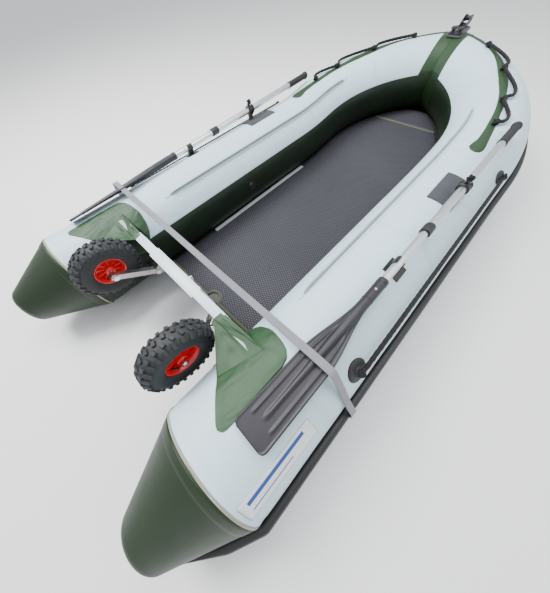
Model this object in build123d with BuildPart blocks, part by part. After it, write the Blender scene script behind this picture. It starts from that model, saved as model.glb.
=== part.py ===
"""Inflatable dinghy with a sectional floor, oars and flip-up launching wheels.

Millimetres. X runs forward to the bow, Y to port and Z up. The origin is at the middle of the
boat's outline, on the ground that the air tubes stand on.
"""
from build123d import *
from math import acos, atan2, cos, degrees, radians, sin, sqrt, tan
import os

os.makedirs("parts", exist_ok=True)

SIDES = (("port", 1), ("starboard", -1))

# ---- driving dimensions ----------------------------------------------------------------------
TUBE_RADIUS = 210.0
TUBE_SPACING = 1100.0  # between the two tubes' centre lines
FABRIC = 1.2
GLUE = 0.3  # gap left at a glued or seated face

STERN_REACH = 312.0  # transom top to the seam of the stern cone
SHEER_START = 1250.0  # transom top to where the tubes start to rise
SHEER_RADIUS = 1700.0
SHEER_ANGLE = 8.5
BOW_START = 1560.0  # transom top to where the tubes turn inwards
BOW_RADIUS = 930.0

CONE_LENGTH = 270.0
CONE_TIP_RADIUS = 82.0
CONE_TIP_ROUND = 22.0

TRANSOM_TOP = 405.0
TRANSOM_THICK = 30.0
TRANSOM_RAKE = 7.0
CAP_THICK = 2.5
CAP_REACH = 280.0  # from the middle to each end of the cap
MOTOR_PAD_WIDTH = 300.0
MOTOR_PAD_DEPTH = 150.0
MOTOR_PAD_THICK = 5.0

FLOOR_DEPTH = 149.0  # tube centre line down to the top of the floor panels
FLOOR_THICK = 10.0
MAT_THICK = 8.0
SKIN_THICK = 3.0
SKIN_DEPTH = 190.0  # tube centre line down to the underside of the bottom skin

STEM_SET_BACK = 2.47  # by how much the mitre shortens the strake's reach at the stem

PATCH = 1.5  # thickness of a glued fabric patch
STRAKE_WIDTH = 60.0
STRAKE_HEIGHT = 32.0
STRAKE_ANGLE = -7.0
RAIL_ANGLE = 122.0
RAIL_FROM, RAIL_TO = 262.0, 1790.0
FLAP_ANGLES = (78.0, 96.0)
FLAP_FROM = 1410.0
BAND_TURN = 4.5
ROPE = 18.0  # diameter of every rope
ROPE_SEAT = 2.0  # rope to what it lies on

OAR_TIP = (-170.0, 606.0, 430.0)  # from the transom top, port side
OAR_END = (1590.0, 640.0, 476.0)
SHAFT_RADIUS = 16.0
INNER_SHAFT_RADIUS = 14.0
SHAFT_WALL = 1.5
BLADE_LENGTH = 500.0
BLADE_WIDTH = 112.0
BLADE_THICK = 6.0
SLEEVE_LENGTH = 175.0
SHAFT_JOINT = 890.0  # blade tip to the end of the outer shaft
SHAFT_OVERLAP = 330.0
GRIP_LENGTH = 185.0
GRIP_WALL = 1.5
OARLOCK_X = 1030.0
OARLOCK_LENGTH = 38.0
CLAMP_WALL = 7.0
CLIP_X = 540.0
RUN_FIT = 0.4  # running clearance of a shaft in its bore

WHEEL_X, WHEEL_Y, WHEEL_Z = -178.0, 268.0, 372.0
TYRE_RADIUS = 132.5
TYRE_WIDTH = 85.0
TYRE_WALL = 8.0
RIM_RADIUS = 57.0
RIM_WIDTH = 62.0
HUB_RADIUS = 17.0
AXLE_RADIUS = 8.0
LEG_Y = 203.0
LEG_SIZE = 25.0
LEG_WALL = 2.0
PIVOT_Z = 262.0
PIVOT_STAND = 38.0  # transom face to the leg's pin
PIN_RADIUS = 5.0
PLATE = 3.0

STRAP_X = 100.0
STRAP_WIDTH = 25.0
STRAP_THICK = 1.8

# ---- places worked out from them ---------------------------------------------------------------
tube_y = TUBE_SPACING / 2
tube_z = TUBE_RADIUS
sheer = radians(SHEER_ANGLE)
sheer_end_x = SHEER_START + SHEER_RADIUS * sin(sheer)
stem_turn = degrees(acos(1 - tube_y / BOW_RADIUS))
run_to_sheer = SHEER_START
run_to_rise = run_to_sheer + SHEER_RADIUS * sheer
run_to_bend = run_to_rise + (BOW_START - sheer_end_x) / cos(sheer)
run_to_stem = run_to_bend + BOW_RADIUS * radians(stem_turn)
stem_x = BOW_START + BOW_RADIUS * sin(radians(stem_turn)) * cos(sheer)
stem_reach = (TUBE_RADIUS + GLUE + STRAKE_HEIGHT) * cos(sheer) / sin(radians(stem_turn))
nose_x = stem_x + stem_reach - STEM_SET_BACK
middle_x = (nose_x - STERN_REACH - CONE_LENGTH) / 2
rise = Vector(-sin(sheer), 0, cos(sheer))
ahead = Vector(cos(sheer), 0, sin(sheer))
bend_z = tube_z + SHEER_RADIUS * (1 - cos(sheer)) + (BOW_START - sheer_end_x) * tan(sheer)
BOW_PLANE = Plane(origin=(BOW_START - middle_x, 0, bend_z), x_dir=ahead, z_dir=rise)


def tube_frame(run):
    """The port tube's cross-section plane at a distance along its centre line."""
    if run <= run_to_sheer:
        return Plane(origin=(run - middle_x, tube_y, tube_z), x_dir=(0, 1, 0), z_dir=(1, 0, 0))
    if run <= run_to_rise:
        slope = (run - run_to_sheer) / SHEER_RADIUS
        origin = (
            SHEER_START + SHEER_RADIUS * sin(slope) - middle_x,
            tube_y,
            tube_z + SHEER_RADIUS * (1 - cos(slope)),
        )
        return Plane(origin=origin, x_dir=(0, 1, 0), z_dir=(cos(slope), 0, sin(slope)))
    if run <= run_to_bend:
        origin = Vector(BOW_START - middle_x, tube_y, bend_z) - ahead * (run_to_bend - run)
        return Plane(origin=origin, x_dir=(0, 1, 0), z_dir=ahead)
    turn = (run - run_to_bend) / BOW_RADIUS
    side = Vector(0, 1, 0)
    origin = (
        Vector(BOW_START - middle_x, tube_y, bend_z)
        + ahead * (BOW_RADIUS * sin(turn))
        - side * (BOW_RADIUS * (1 - cos(turn)))
    )
    outboard = ahead * sin(turn) + side * cos(turn)
    tangent = ahead * cos(turn) - side * sin(turn)
    return Plane(origin=origin, x_dir=outboard, z_dir=tangent)


def turned(plane, angle):
    """A cross-section plane turned about the tube, so that its X points out at the angle."""
    out = plane.x_dir * cos(radians(angle)) + plane.y_dir * sin(radians(angle))
    return Plane(origin=plane.origin, x_dir=out, z_dir=plane.z_dir)


def on_tube(run, angle, height=0.0):
    """A plane on the port tube: X along the tube, Z straight out; 0 is outboard, 90 is up."""
    frame = tube_frame(run)
    out = turned(frame, angle).x_dir
    return Plane(origin=frame.origin + out * (TUBE_RADIUS + height), x_dir=frame.z_dir, z_dir=out)


def ring_section(plane, outer, inner):
    with BuildSketch(plane) as ring:
        Circle(outer)
        Circle(inner, mode=Mode.SUBTRACT)
    return ring.sketch


def band_section(plane, angles, low, high):
    """A strip of the tube's skin between two angles, standing from low to high above it."""
    first, last = angles
    with BuildSketch(plane) as band:
        with BuildLine():
            CenterArc((0, 0), TUBE_RADIUS + high, first, last - first)
            CenterArc((0, 0), TUBE_RADIUS + low, first, last - first)
            for angle in angles:
                along = Vector(cos(radians(angle)), sin(radians(angle)))
                Line(along * (TUBE_RADIUS + low), along * (TUBE_RADIUS + high))
        make_face()
    return band.sketch


def follow_tube(section, run_from, run_to=None):
    """Carry a cross-section along the port tube, to a place on it or to the stem's mitre."""
    to_stem = run_to is None
    end = run_to_stem + 400 if to_stem else run_to
    sheer_axis = Axis((SHEER_START - middle_x, 0, tube_z + SHEER_RADIUS), (0, -1, 0))
    bow_axis = Axis(BOW_PLANE.from_local_coords((0, tube_y - BOW_RADIUS, 0)), -rise)
    with BuildPart() as followed:
        if run_from < run_to_sheer:
            length = min(end, run_to_sheer) - run_from
            extrude(section(tube_frame(run_from)), amount=length)
        start = max(run_from, run_to_sheer)
        if start < run_to_rise < end:
            arc = degrees((run_to_rise - start) / SHEER_RADIUS)
            revolve(section(tube_frame(start)), axis=sheer_axis, revolution_arc=arc)
        start = max(run_from, run_to_rise)
        if start < run_to_bend < end:
            extrude(section(tube_frame(start)), amount=run_to_bend - start)
        start = max(run_from, run_to_bend)
        if start < end:
            arc = degrees((end - start) / BOW_RADIUS)
            revolve(section(tube_frame(start)), axis=bow_axis, revolution_arc=arc)
        if to_stem:
            split(bisect_by=Plane.XZ, keep=Keep.BOTTOM)
    return followed.part


def sheer_sheet(top, thick, run_from_x, length):
    """A level sheet under the tubes' centre line that rises with the sheer, as wide as the boat."""
    low = top + thick
    centre = Vector(SHEER_START, tube_z + SHEER_RADIUS)
    fall = Vector(sin(sheer), -cos(sheer))
    mid_fall = Vector(sin(sheer / 2), -cos(sheer / 2))
    reach = Vector(cos(sheer), sin(sheer)) * (length - SHEER_START)
    with BuildPart() as sheet:
        with BuildSketch(Plane.XZ.offset(-tube_y)):
            with BuildLine():
                ends = []
                for depth in (top, low):
                    radius = SHEER_RADIUS + depth
                    foot = centre - Vector(0, radius)
                    knee = centre + fall * radius
                    aft = Vector(run_from_x, foot.Y)
                    shift = Vector(middle_x, 0)
                    Line(aft - shift, foot - shift)
                    ThreePointArc(foot - shift, centre + mid_fall * radius - shift, knee - shift)
                    Line(knee - shift, knee + reach - shift)
                    ends.append((aft - shift, knee + reach - shift))
                Line(ends[0][0], ends[1][0])
                Line(ends[0][1], ends[1][1])
            make_face()
        extrude(amount=TUBE_SPACING)
    return sheet.part


def plan_prism(inset, aft, fore=3000.0):
    """What lies inboard of the tubes' centre lines by at least inset, between two stations."""
    radius = BOW_RADIUS - inset
    centre = BOW_RADIUS - tube_y
    length = BOW_START + 1500.0
    with BuildPart() as prism:
        with BuildSketch(BOW_PLANE) as plan:
            with Locations((0, -centre)):
                Circle(radius)
            with Locations((0, centre)):
                Circle(radius, mode=Mode.INTERSECT)
            with Locations((-length / 2, 0)):
                Rectangle(length, 2 * (tube_y - inset))
        extrude(amount=TUBE_SPACING, both=True)
        with BuildSketch(Plane.XY.offset(-TUBE_SPACING)):
            with Locations(((aft + fore) / 2 - middle_x, 0)):
                Rectangle(fore - aft, 2 * TUBE_SPACING)
        extrude(amount=3 * TUBE_SPACING, mode=Mode.INTERSECT)
    return prism.part


def chord(depth):
    """Half the width of the tube at a depth under its centre line."""
    return sqrt(TUBE_RADIUS**2 - min(depth, TUBE_RADIUS) ** 2)


port_pieces = {}  # each becomes a port and a starboard node
paired_pieces = {}  # both sides share one node
pieces = {}

# ---- air tubes and their cones ------------------------------------------------------------------


def tube_wall(plane):
    return ring_section(plane, TUBE_RADIUS, TUBE_RADIUS - FABRIC)


port_pieces["air_tube"] = follow_tube(tube_wall, -STERN_REACH)


def cone_solid(wall):
    """The stern cone, thinner all round by wall."""
    tip = CONE_TIP_RADIUS - wall
    length = CONE_LENGTH - wall
    with BuildPart() as cone:
        with BuildSketch(Plane(origin=(-STERN_REACH - middle_x, tube_y, tube_z), x_dir=(-1, 0, 0),
                               z_dir=(0, 1, 0))):
            with BuildLine():
                Polyline((0, 0), (0, TUBE_RADIUS - wall), (length, tip), (length, 0), close=True)
            make_face()
            corner = vertices().sort_by(Axis.X)[-2:].sort_by(Axis.Y)[-1:]
            fillet(corner, CONE_TIP_ROUND)
        axis = Axis((-STERN_REACH - middle_x, tube_y, tube_z), (1, 0, 0))
        revolve(axis=axis)
    return cone.part


with BuildPart() as stern_cone:
    add(cone_solid(0.0))
    add(cone_solid(FABRIC), mode=Mode.SUBTRACT)
port_pieces["stern_cone"] = stern_cone.part

# ---- fabric glued to the tubes -------------------------------------------------------------------


def strake_section(plane):
    """Two round lobes side by side on a flat base."""
    lobe = STRAKE_WIDTH / 4
    seat = TUBE_RADIUS + GLUE + STRAKE_HEIGHT - lobe
    root = TUBE_RADIUS - lobe
    with BuildSketch(turned(plane, STRAKE_ANGLE)) as strake:
        with Locations((seat, lobe), (seat, -lobe)):
            Circle(lobe)
        with Locations(((seat + root) / 2, 0)):
            Rectangle(seat - root, STRAKE_WIDTH)
        Circle(TUBE_RADIUS + GLUE, mode=Mode.SUBTRACT)
    return strake.sketch


port_pieces["rub_strake"] = follow_tube(strake_section, -STERN_REACH)


def rail_section(plane):
    """A fabric flap with a bead along its edge, standing on the tube."""
    flap = 30.0
    bead = 5.0
    stand = 13.0
    with BuildSketch(turned(plane, RAIL_ANGLE)) as rail:
        with Locations((TUBE_RADIUS + GLUE + stand, 0)):
            Circle(bead)
        with Locations((TUBE_RADIUS + GLUE + stand / 2, 0)):
            Rectangle(stand, 2 * PATCH)
        with Locations((TUBE_RADIUS + PATCH - 1.0, 0)):
            Rectangle(2 * PATCH, flap)
        Circle(TUBE_RADIUS + GLUE, mode=Mode.SUBTRACT)
    return rail.sketch


paired_pieces["seat_rails"] = follow_tube(rail_section, RAIL_FROM, RAIL_TO)


def flap_section(plane):
    return band_section(plane, FLAP_ANGLES, GLUE, GLUE + 2 * PATCH)


bow_flap_end = run_to_stem - BOW_RADIUS * radians(BAND_TURN) - 40.0
paired_pieces["spray_flaps"] = follow_tube(flap_section, FLAP_FROM, bow_flap_end)


def stem_band_wall(plane):
    """The stem band stops short of the rub strake on the outer side."""
    return band_section(plane, (14.0, 215.0), GLUE, GLUE + PATCH)


with BuildPart() as stem_band:
    half_band = follow_tube(stem_band_wall, run_to_stem - BOW_RADIUS * radians(BAND_TURN))
    add(half_band)
    mirror(half_band, about=Plane.XZ)
pieces["stem_band"] = stem_band.part


def gusset_wall(plane):
    return band_section(plane, (84.0, 168.0), GLUE, GLUE + PATCH)


paired_pieces["gussets"] = follow_tube(gusset_wall, -190.0, 80.0)

# ---- transom ---------------------------------------------------------------------------------------
rake = radians(TRANSOM_RAKE)
TRANSOM_FRONT = Plane(origin=(-middle_x, 0, TRANSOM_TOP), x_dir=(0, 1, 0),
                      z_dir=(cos(rake), 0, sin(rake)))
tube_cut = TUBE_RADIUS + 2 * GLUE + PATCH
transom_foot = tube_z - SKIN_DEPTH + GLUE + 6.0
transom_height = (TRANSOM_TOP - transom_foot) / cos(rake)


def tube_voids(radius):
    """Both tubes as solid bars of a given radius, for cutting what fits between them."""
    with BuildPart() as bars:
        for side in (1, -1):
            with BuildSketch(Plane(origin=(-800 - middle_x, side * tube_y, tube_z), z_dir=(1, 0, 0))):
                Circle(radius)
        extrude(amount=1700)
    return bars.part


def transom_slice(low, high, top, bottom, half_width):
    """A plate parallel to the transom, between two distances from its middle."""
    with BuildPart() as plate:
        with BuildSketch(TRANSOM_FRONT.offset(low)):
            with Locations((0, -(top + bottom) / 2)):
                Rectangle(2 * half_width, bottom - top)
        extrude(amount=high - low)
    return plate.part


half_board = TRANSOM_THICK / 2
with BuildPart() as transom_board:
    add(transom_slice(-half_board, half_board, 0, transom_height, tube_y - 60))
    add(tube_voids(tube_cut), mode=Mode.SUBTRACT)
pieces["transom_board"] = transom_board.part

cap_gap = GLUE
with BuildPart() as transom_cap:
    wall = half_board + cap_gap + CAP_THICK
    add(transom_slice(-wall, wall, -CAP_THICK - cap_gap, 30, CAP_REACH))
    add(transom_slice(-half_board - cap_gap, half_board + cap_gap, -cap_gap, 40, tube_y),
        mode=Mode.SUBTRACT)
    add(tube_voids(tube_cut + GLUE), mode=Mode.SUBTRACT)
pieces["transom_cap"] = transom_cap.part

pad_face = half_board + cap_gap + CAP_THICK + GLUE
with BuildPart() as motor_pads:
    for sign in (1, -1):
        near = sign * pad_face
        far = sign * (pad_face + MOTOR_PAD_THICK)
        add(transom_slice(min(near, far), max(near, far), -CAP_THICK, MOTOR_PAD_DEPTH,
                          MOTOR_PAD_WIDTH / 2))
pieces["motor_pads"] = motor_pads.part

floor_top = tube_z - FLOOR_DEPTH
mat_top = floor_top + MAT_THICK
transom_lean = (TRANSOM_TOP - mat_top) * tan(rake)
deck_aft = transom_lean + half_board / cos(rake) + 14.0

with BuildPart() as transom_angles:
    angle_height = 60.0
    foot = (TRANSOM_TOP - mat_top) / cos(rake) - 12.0
    for side in (1, -1):
        with BuildSketch(TRANSOM_FRONT.offset(half_board + GLUE)):
            with Locations((side * 262, -foot + angle_height / 2)):
                Rectangle(110, angle_height)
    extrude(amount=3.0)
    rivet_places = [(side * 262 + step, -foot + angle_height - 16) for side in (1, -1)
                    for step in (-34, 34)]
    with BuildSketch(TRANSOM_FRONT.offset(half_board + GLUE + 3.0)):
        with Locations(rivet_places):
            Circle(4.5)
    extrude(amount=2.0)
pieces["transom_angles"] = transom_angles.part

with BuildPart() as drain_valve:
    drain_down = (TRANSOM_TOP - mat_top) / cos(rake) - 26.0
    for sign, reach in ((1, 9.0), (-1, 14.0)):
        with BuildSketch(TRANSOM_FRONT.offset(sign * (half_board + GLUE))):
            with Locations((0, -drain_down)):
                Circle(24)
                Circle(13, mode=Mode.SUBTRACT)
        extrude(amount=sign * reach)
pieces["drain_valve"] = drain_valve.part

with BuildPart() as tow_ring:
    eye_down = 175.0
    ring_radius = 17.0
    ring_wire = 3.0
    with BuildSketch(TRANSOM_FRONT.offset(half_board + GLUE)):
        with Locations((66, -eye_down)):
            RectangleRounded(50, 24, 6)
    extrude(amount=3.0)
    ring_plane = TRANSOM_FRONT.offset(half_board + GLUE + 3.0 + ring_radius + ring_wire + 0.8)
    centre = ring_plane.from_local_coords((66, -eye_down, 0))
    with BuildSketch(Plane(origin=centre + Vector(ring_radius, 0, 0), x_dir=(1, 0, 0),
                           z_dir=(0, 1, 0))):
        Circle(ring_wire)
    revolve(axis=Axis(centre, (0, 0, 1)))
pieces["tow_ring"] = tow_ring.part

# ---- bottom and floor --------------------------------------------------------------------------------
skin_edge = chord(SKIN_DEPTH - SKIN_THICK) + GLUE
skin_aft = (TRANSOM_TOP - transom_foot) * tan(rake) - half_board
with BuildPart() as bottom_skin:
    add(sheer_sheet(SKIN_DEPTH - SKIN_THICK, SKIN_THICK, skin_aft, 2700.0))
    add(plan_prism(skin_edge, skin_aft), mode=Mode.INTERSECT)
pieces["bottom_skin"] = bottom_skin.part

panel_edge = chord(FLOOR_DEPTH) + 6.0
panel_stops = (deck_aft, 560.0, 1060.0, 1500.0, 2195.0)
panel_gap = 1.0
with BuildPart() as floor_panels:
    add(sheer_sheet(FLOOR_DEPTH, FLOOR_THICK, deck_aft, 2600.0))
    add(plan_prism(panel_edge + 6.0, deck_aft, panel_stops[-1]), mode=Mode.INTERSECT)
    for stop in panel_stops[1:-1]:
        with BuildSketch(Plane.YZ.offset(stop - middle_x)):
            Rectangle(3000, 3000)
        extrude(amount=panel_gap, mode=Mode.SUBTRACT)
pieces["floor_panels"] = floor_panels.part

mat_joint = 2010.0
mat_gap = 2.0
mat_edge = panel_edge + 14.0
with BuildPart() as main_mat:
    add(sheer_sheet(FLOOR_DEPTH - MAT_THICK, MAT_THICK, deck_aft, 2600.0))
    add(plan_prism(mat_edge, deck_aft + 4.0, mat_joint), mode=Mode.INTERSECT)
    with BuildSketch(Plane.XY.offset(floor_top - 20)):
        with Locations((deck_aft + 4.0 - middle_x, 0)):
            Circle(42)
    extrude(amount=60, mode=Mode.SUBTRACT)
pieces["main_mat"] = main_mat.part

bow_mat_end = 2190.0
with BuildPart() as bow_mat:
    add(sheer_sheet(FLOOR_DEPTH - MAT_THICK, MAT_THICK, deck_aft, 2600.0))
    add(plan_prism(mat_edge, mat_joint + mat_gap, bow_mat_end), mode=Mode.INTERSECT)
pieces["bow_mat"] = bow_mat.part

keel_foot = SKIN_DEPTH - SKIN_THICK - GLUE
keel_depth = FLOOR_DEPTH + FLOOR_THICK + GLUE
with BuildPart() as keel_tube:
    add(sheer_sheet(keel_depth, keel_foot - keel_depth, 90.0, 2600.0))
    with BuildSketch(Plane.XY.offset(-50)):
        with Locations((1000 - middle_x, 0)):
            Rectangle(1800, 160)
    extrude(amount=500, mode=Mode.INTERSECT)
    fillet(edges().filter_by(Axis.X), 10.0)
pieces["keel_tube"] = keel_tube.part

stringer_from = 400.0
with BuildPart() as floor_stringers:
    for side in (1, -1):
        with BuildSketch(Plane.YZ.offset(stringer_from - middle_x)):
            with Locations((side * (tube_y - mat_edge - 16.0), floor_top + MAT_THICK + GLUE + 1.5)):
                Rectangle(24, 3)
        extrude(amount=SHEER_START - stringer_from)
pieces["floor_stringers"] = floor_stringers.part

# ---- ropes and their fittings --------------------------------------------------------------------------


def rope_along(points, radius):
    """A rope through straight runs joined by arcs as wide as the runs allow."""
    bends = []
    for before, at, after in zip(points, points[1:], points[2:]):
        into, out = at - before, after - at
        half_turn = radians(into.get_angle(out)) / 2
        bends.append(0.45 * min(into.length, out.length) / tan(half_turn))
    with BuildPart() as rope:
        with BuildLine() as route:
            if bends:
                FilletPolyline(*points, radius=bends)
            else:
                Line(*points)
        with BuildSketch(Plane(origin=points[0], z_dir=points[1] - points[0])):
            Circle(radius)
        sweep(path=route.wire())
    print("rope", round(route.wire().length), [round(bend) for bend in bends])
    return rope.part


rope_height = ROPE / 2 + ROPE_SEAT + GLUE
flap_top = GLUE + 2 * PATCH
eyelet_places = ((1630.0, 88.5), (1820.0, 91.0), (2112.0, 87.0), (2385.0, 81.0))
lace_route = (
    (1630, 88.5), (1645, 80.0), (1695, 78.5), (1750, 85.0), (1800, 90.5), (1840, 91.0), (1860, 79.5),
    (1930, 78.5), (2030, 84.5), (2090, 87.0), (2135, 86.5), (2155, 76.5), (2235, 75.5), (2330, 79.0),
    (2385, 81.0),
)
lace_lift = flap_top + rope_height + 1.5
lace_points = [on_tube(run, angle, lace_lift).origin for run, angle in lace_route]
port_pieces["bow_rope"] = rope_along(lace_points, ROPE / 2)

with BuildPart() as rope_eyelets:
    for run, angle in eyelet_places:
        with BuildSketch(on_tube(run, angle, flap_top)):
            Circle(11)
            Circle(4, mode=Mode.SUBTRACT)
    extrude(amount=1.5)
paired_pieces["rope_eyelets"] = rope_eyelets.part

line_angle = 37.0
line_from, line_to = 183.0, 1406.0
holder_gap = 22.0
line_height = 10.0 + ROPE / 2
line_ends = [on_tube(run, line_angle, line_height).origin for run in (line_from + holder_gap + 6,
                                                                    line_to - holder_gap - 6)]
port_pieces["lifeline"] = rope_along(line_ends, ROPE / 2)

with BuildPart() as line_holders:
    for run, length, width in ((line_from, 74.0, 74.0), (line_to, 84.0, 46.0)):
        with BuildSketch(on_tube(run, line_angle, GLUE + 3.0)):
            Ellipse(length / 2, width / 2)
        extrude(amount=5.0)
        with BuildSketch(on_tube(run, line_angle, GLUE + 8.0)):
            Circle(15)
        extrude(amount=12.0)
paired_pieces["line_holders"] = line_holders.part

valve_run, valve_angle = 721.0, 178.0
with BuildPart() as air_valve:
    with BuildSketch(on_tube(valve_run, valve_angle, 0.4)):
        Circle(27)
    extrude(amount=4.0)
    with BuildSketch(on_tube(valve_run, valve_angle, 4.4)):
        Circle(20)
    extrude(amount=6.0)
paired_pieces["air_valves"] = air_valve.part

with BuildPart() as stern_handle:
    handle_run, handle_angle = -88.0, 185.0
    handle_reach = 16.0
    handle_span = 110.0
    base = on_tube(handle_run, handle_angle, 0.4)
    with BuildSketch(base):
        with Locations((-handle_span / 2, 0), (handle_span / 2, 0)):
            RectangleRounded(44, 36, 8)
    extrude(amount=3.0)
    out = base.z_dir
    ends = [base.origin + base.x_dir * (side * handle_span / 2) + out * 3.4 for side in (-1, 1)]
    shoulders = [end + out * handle_reach - base.x_dir * (side * 14.0) for end, side in
                 zip(ends, (-1, 1))]
    with BuildLine() as arch:
        FilletPolyline(ends[0], shoulders[0], shoulders[1], ends[1], radius=10)
    with BuildSketch(Plane(origin=ends[0], z_dir=shoulders[0] - ends[0])):
        Circle(5)
    sweep(path=arch.wire())
paired_pieces["stern_handles"] = stern_handle.part

# ---- bow fittings ------------------------------------------------------------------------------------------
stem_top = on_tube(run_to_stem, 90).origin
bow_top = Plane(origin=(stem_top.X, 0, stem_top.Z), x_dir=ahead, z_dir=rise)
patch_thick = 6.0
patch_seat = PATCH + 2 * GLUE
with BuildPart() as bow_patch:
    with BuildSketch(bow_top.offset(patch_seat)):
        with Locations((20, 0)):
            RectangleRounded(150, 96, 20)
    extrude(amount=patch_thick)
pieces["bow_patch"] = bow_patch.part

deck = patch_seat + patch_thick + GLUE
with BuildPart() as bow_cleat:
    with BuildSketch(bow_top.offset(deck)):
        with Locations((-20, 0)):
            RectangleRounded(40, 84, 8)
    extrude(amount=4.0)
    for side in (1, -1):
        with BuildSketch(bow_top.offset(deck + 4.0)):
            with Locations((-20, side * 22)):
                Circle(8)
        extrude(amount=20.0)
        with BuildSketch(bow_top.offset(deck + 24.0)):
            with Locations((-20, side * 22)):
                Circle(17)
        extrude(amount=9.0)
    fillet(faces().sort_by(Axis.Z)[-2:].edges(), 4.0)
pieces["bow_cleat"] = bow_cleat.part

ROLLER_RADIUS = 17.0
ROLLER_WIDTH = 34.0
roller_out = 128.0
roller_lift = deck + 3.0 + ROLLER_RADIUS + 3.0
cheek_gap = 1.0
roller_axle = 4.0
cheek_inside = ROLLER_WIDTH / 2 + cheek_gap
with BuildPart() as roller_bracket:
    with BuildSketch(bow_top.offset(deck)):
        with Locations((64, 0)):
            Rectangle(112, 2 * (cheek_inside + PLATE))
    extrude(amount=3.0)
    for side in (1, -1):
        cheek = Plane(origin=bow_top.origin, x_dir=ahead, z_dir=(0, -1, 0))
        near = side * cheek_inside
        with BuildSketch(cheek.offset(-near)):
            with BuildLine():
                Polyline((48, deck), (120, deck), (roller_out + 14, roller_lift - 10),
                         (roller_out + 14, roller_lift + 14), (roller_out - 20, roller_lift + 22),
                         (60, deck + 22), close=True)
            make_face()
            with Locations((roller_out, roller_lift)):
                Circle(roller_axle + GLUE, mode=Mode.SUBTRACT)
        extrude(amount=-side * PLATE)
    axle_plane = Plane(origin=bow_top.from_local_coords((roller_out, 0, roller_lift)),
                       x_dir=ahead, z_dir=(0, -1, 0))
pieces["roller_bracket"] = roller_bracket.part

with BuildPart() as roller_pin:
    with BuildSketch(axle_plane):
        Circle(roller_axle)
    extrude(amount=cheek_inside + PLATE + 0.5, both=True)
    for sign in (1, -1):
        with BuildSketch(axle_plane.offset(sign * (cheek_inside + PLATE + 0.5))):
            Circle(7)
        extrude(amount=sign * 3.0)
pieces["roller_pin"] = roller_pin.part

with BuildPart() as bow_roller:
    with BuildSketch(Plane(origin=axle_plane.origin, x_dir=(0, 1, 0), z_dir=ahead)):
        with BuildLine():
            half = ROLLER_WIDTH / 2
            bore = roller_axle + RUN_FIT
            Line((-half, bore), (half, bore))
            Line((half, bore), (half, ROLLER_RADIUS))
            ThreePointArc((half, ROLLER_RADIUS), (0, ROLLER_RADIUS - 6), (-half, ROLLER_RADIUS))
            Line((-half, ROLLER_RADIUS), (-half, bore))
        make_face()
    revolve(axis=Axis(axle_plane.origin, (0, 1, 0)))
pieces["bow_roller"] = bow_roller.part

# ---- oars and oarlocks ---------------------------------------------------------------------------------------
oar_tip = Vector(*OAR_TIP) - Vector(middle_x, 0, 0)
oar_end = Vector(*OAR_END) - Vector(middle_x, 0, 0)
oar_length = (oar_end - oar_tip).length
oar_axis = (oar_end - oar_tip).normalized()
oar_side = Vector(0, 0, 1).cross(oar_axis).normalized()
oar_up = oar_axis.cross(oar_side)


def oar_section(distance):
    """A plane across the oar at a distance from the blade's tip; X is outboard, Y up."""
    return Plane(origin=oar_tip + oar_axis * distance, x_dir=oar_side, z_dir=oar_axis)


grip_radius = SHAFT_RADIUS + GRIP_WALL
BLADE_PLANE = Plane(origin=oar_tip, x_dir=oar_axis, z_dir=oar_up)
inner_from = BLADE_LENGTH - 60.0
inner_to = SHAFT_JOINT + SHAFT_OVERLAP

with BuildPart() as oar_blade:
    with BuildSketch(BLADE_PLANE.offset(-BLADE_THICK / 2)):
        half = BLADE_WIDTH / 2
        with BuildLine():
            Polyline((0, half - 8), (20, half), (250, half - 4), (BLADE_LENGTH, INNER_SHAFT_RADIUS),
                     (BLADE_LENGTH, -INNER_SHAFT_RADIUS), (250, 4 - half), (20, -half),
                     (0, 8 - half), close=True)
        make_face()
        fillet(vertices().sort_by(Axis.X)[:4], 12)
    extrude(amount=BLADE_THICK)
    with BuildSketch(oar_section(30)):
        Circle(7)
    extrude(amount=inner_from - 30)
    for side in (1, -1):
        with BuildSketch(oar_section(36)):
            with Locations((side * 34, BLADE_THICK / 2)):
                Circle(3.5)
        extrude(amount=250)
    with BuildSketch(oar_section(inner_from - 40)):
        Circle(INNER_SHAFT_RADIUS + 4)
    extrude(amount=40 + SLEEVE_LENGTH)
    with BuildSketch(oar_section(inner_from)):
        Circle(INNER_SHAFT_RADIUS + GLUE)
    extrude(amount=SLEEVE_LENGTH + 10, mode=Mode.SUBTRACT)
port_pieces["oar_blade"] = oar_blade.part

with BuildPart() as inner_shaft:
    inner_bore = INNER_SHAFT_RADIUS - SHAFT_WALL
    extrude(ring_section(oar_section(inner_from), INNER_SHAFT_RADIUS, inner_bore),
            amount=inner_to - inner_from)
port_pieces["inner_shaft"] = inner_shaft.part

with BuildPart() as outer_shaft:
    extrude(ring_section(oar_section(SHAFT_JOINT), SHAFT_RADIUS, SHAFT_RADIUS - SHAFT_WALL),
            amount=oar_length - 4 - SHAFT_JOINT)
    button = Plane(origin=oar_section(SHAFT_JOINT + 70).origin, x_dir=oar_axis, z_dir=oar_up)
    with BuildSketch(button):
        Circle(4)
    extrude(amount=SHAFT_RADIUS + 5, mode=Mode.SUBTRACT)
port_pieces["outer_shaft"] = outer_shaft.part

with BuildPart() as oar_grip:
    with BuildSketch(oar_section(oar_length - GRIP_LENGTH)):
        Circle(grip_radius)
        Circle(SHAFT_RADIUS + GLUE, mode=Mode.SUBTRACT)
    extrude(amount=GRIP_LENGTH - 4 + GLUE)
    with BuildSketch(oar_section(oar_length - 4 + GLUE)):
        Circle(grip_radius)
    extrude(amount=4 - GLUE)
port_pieces["oar_grip"] = oar_grip.part

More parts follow.
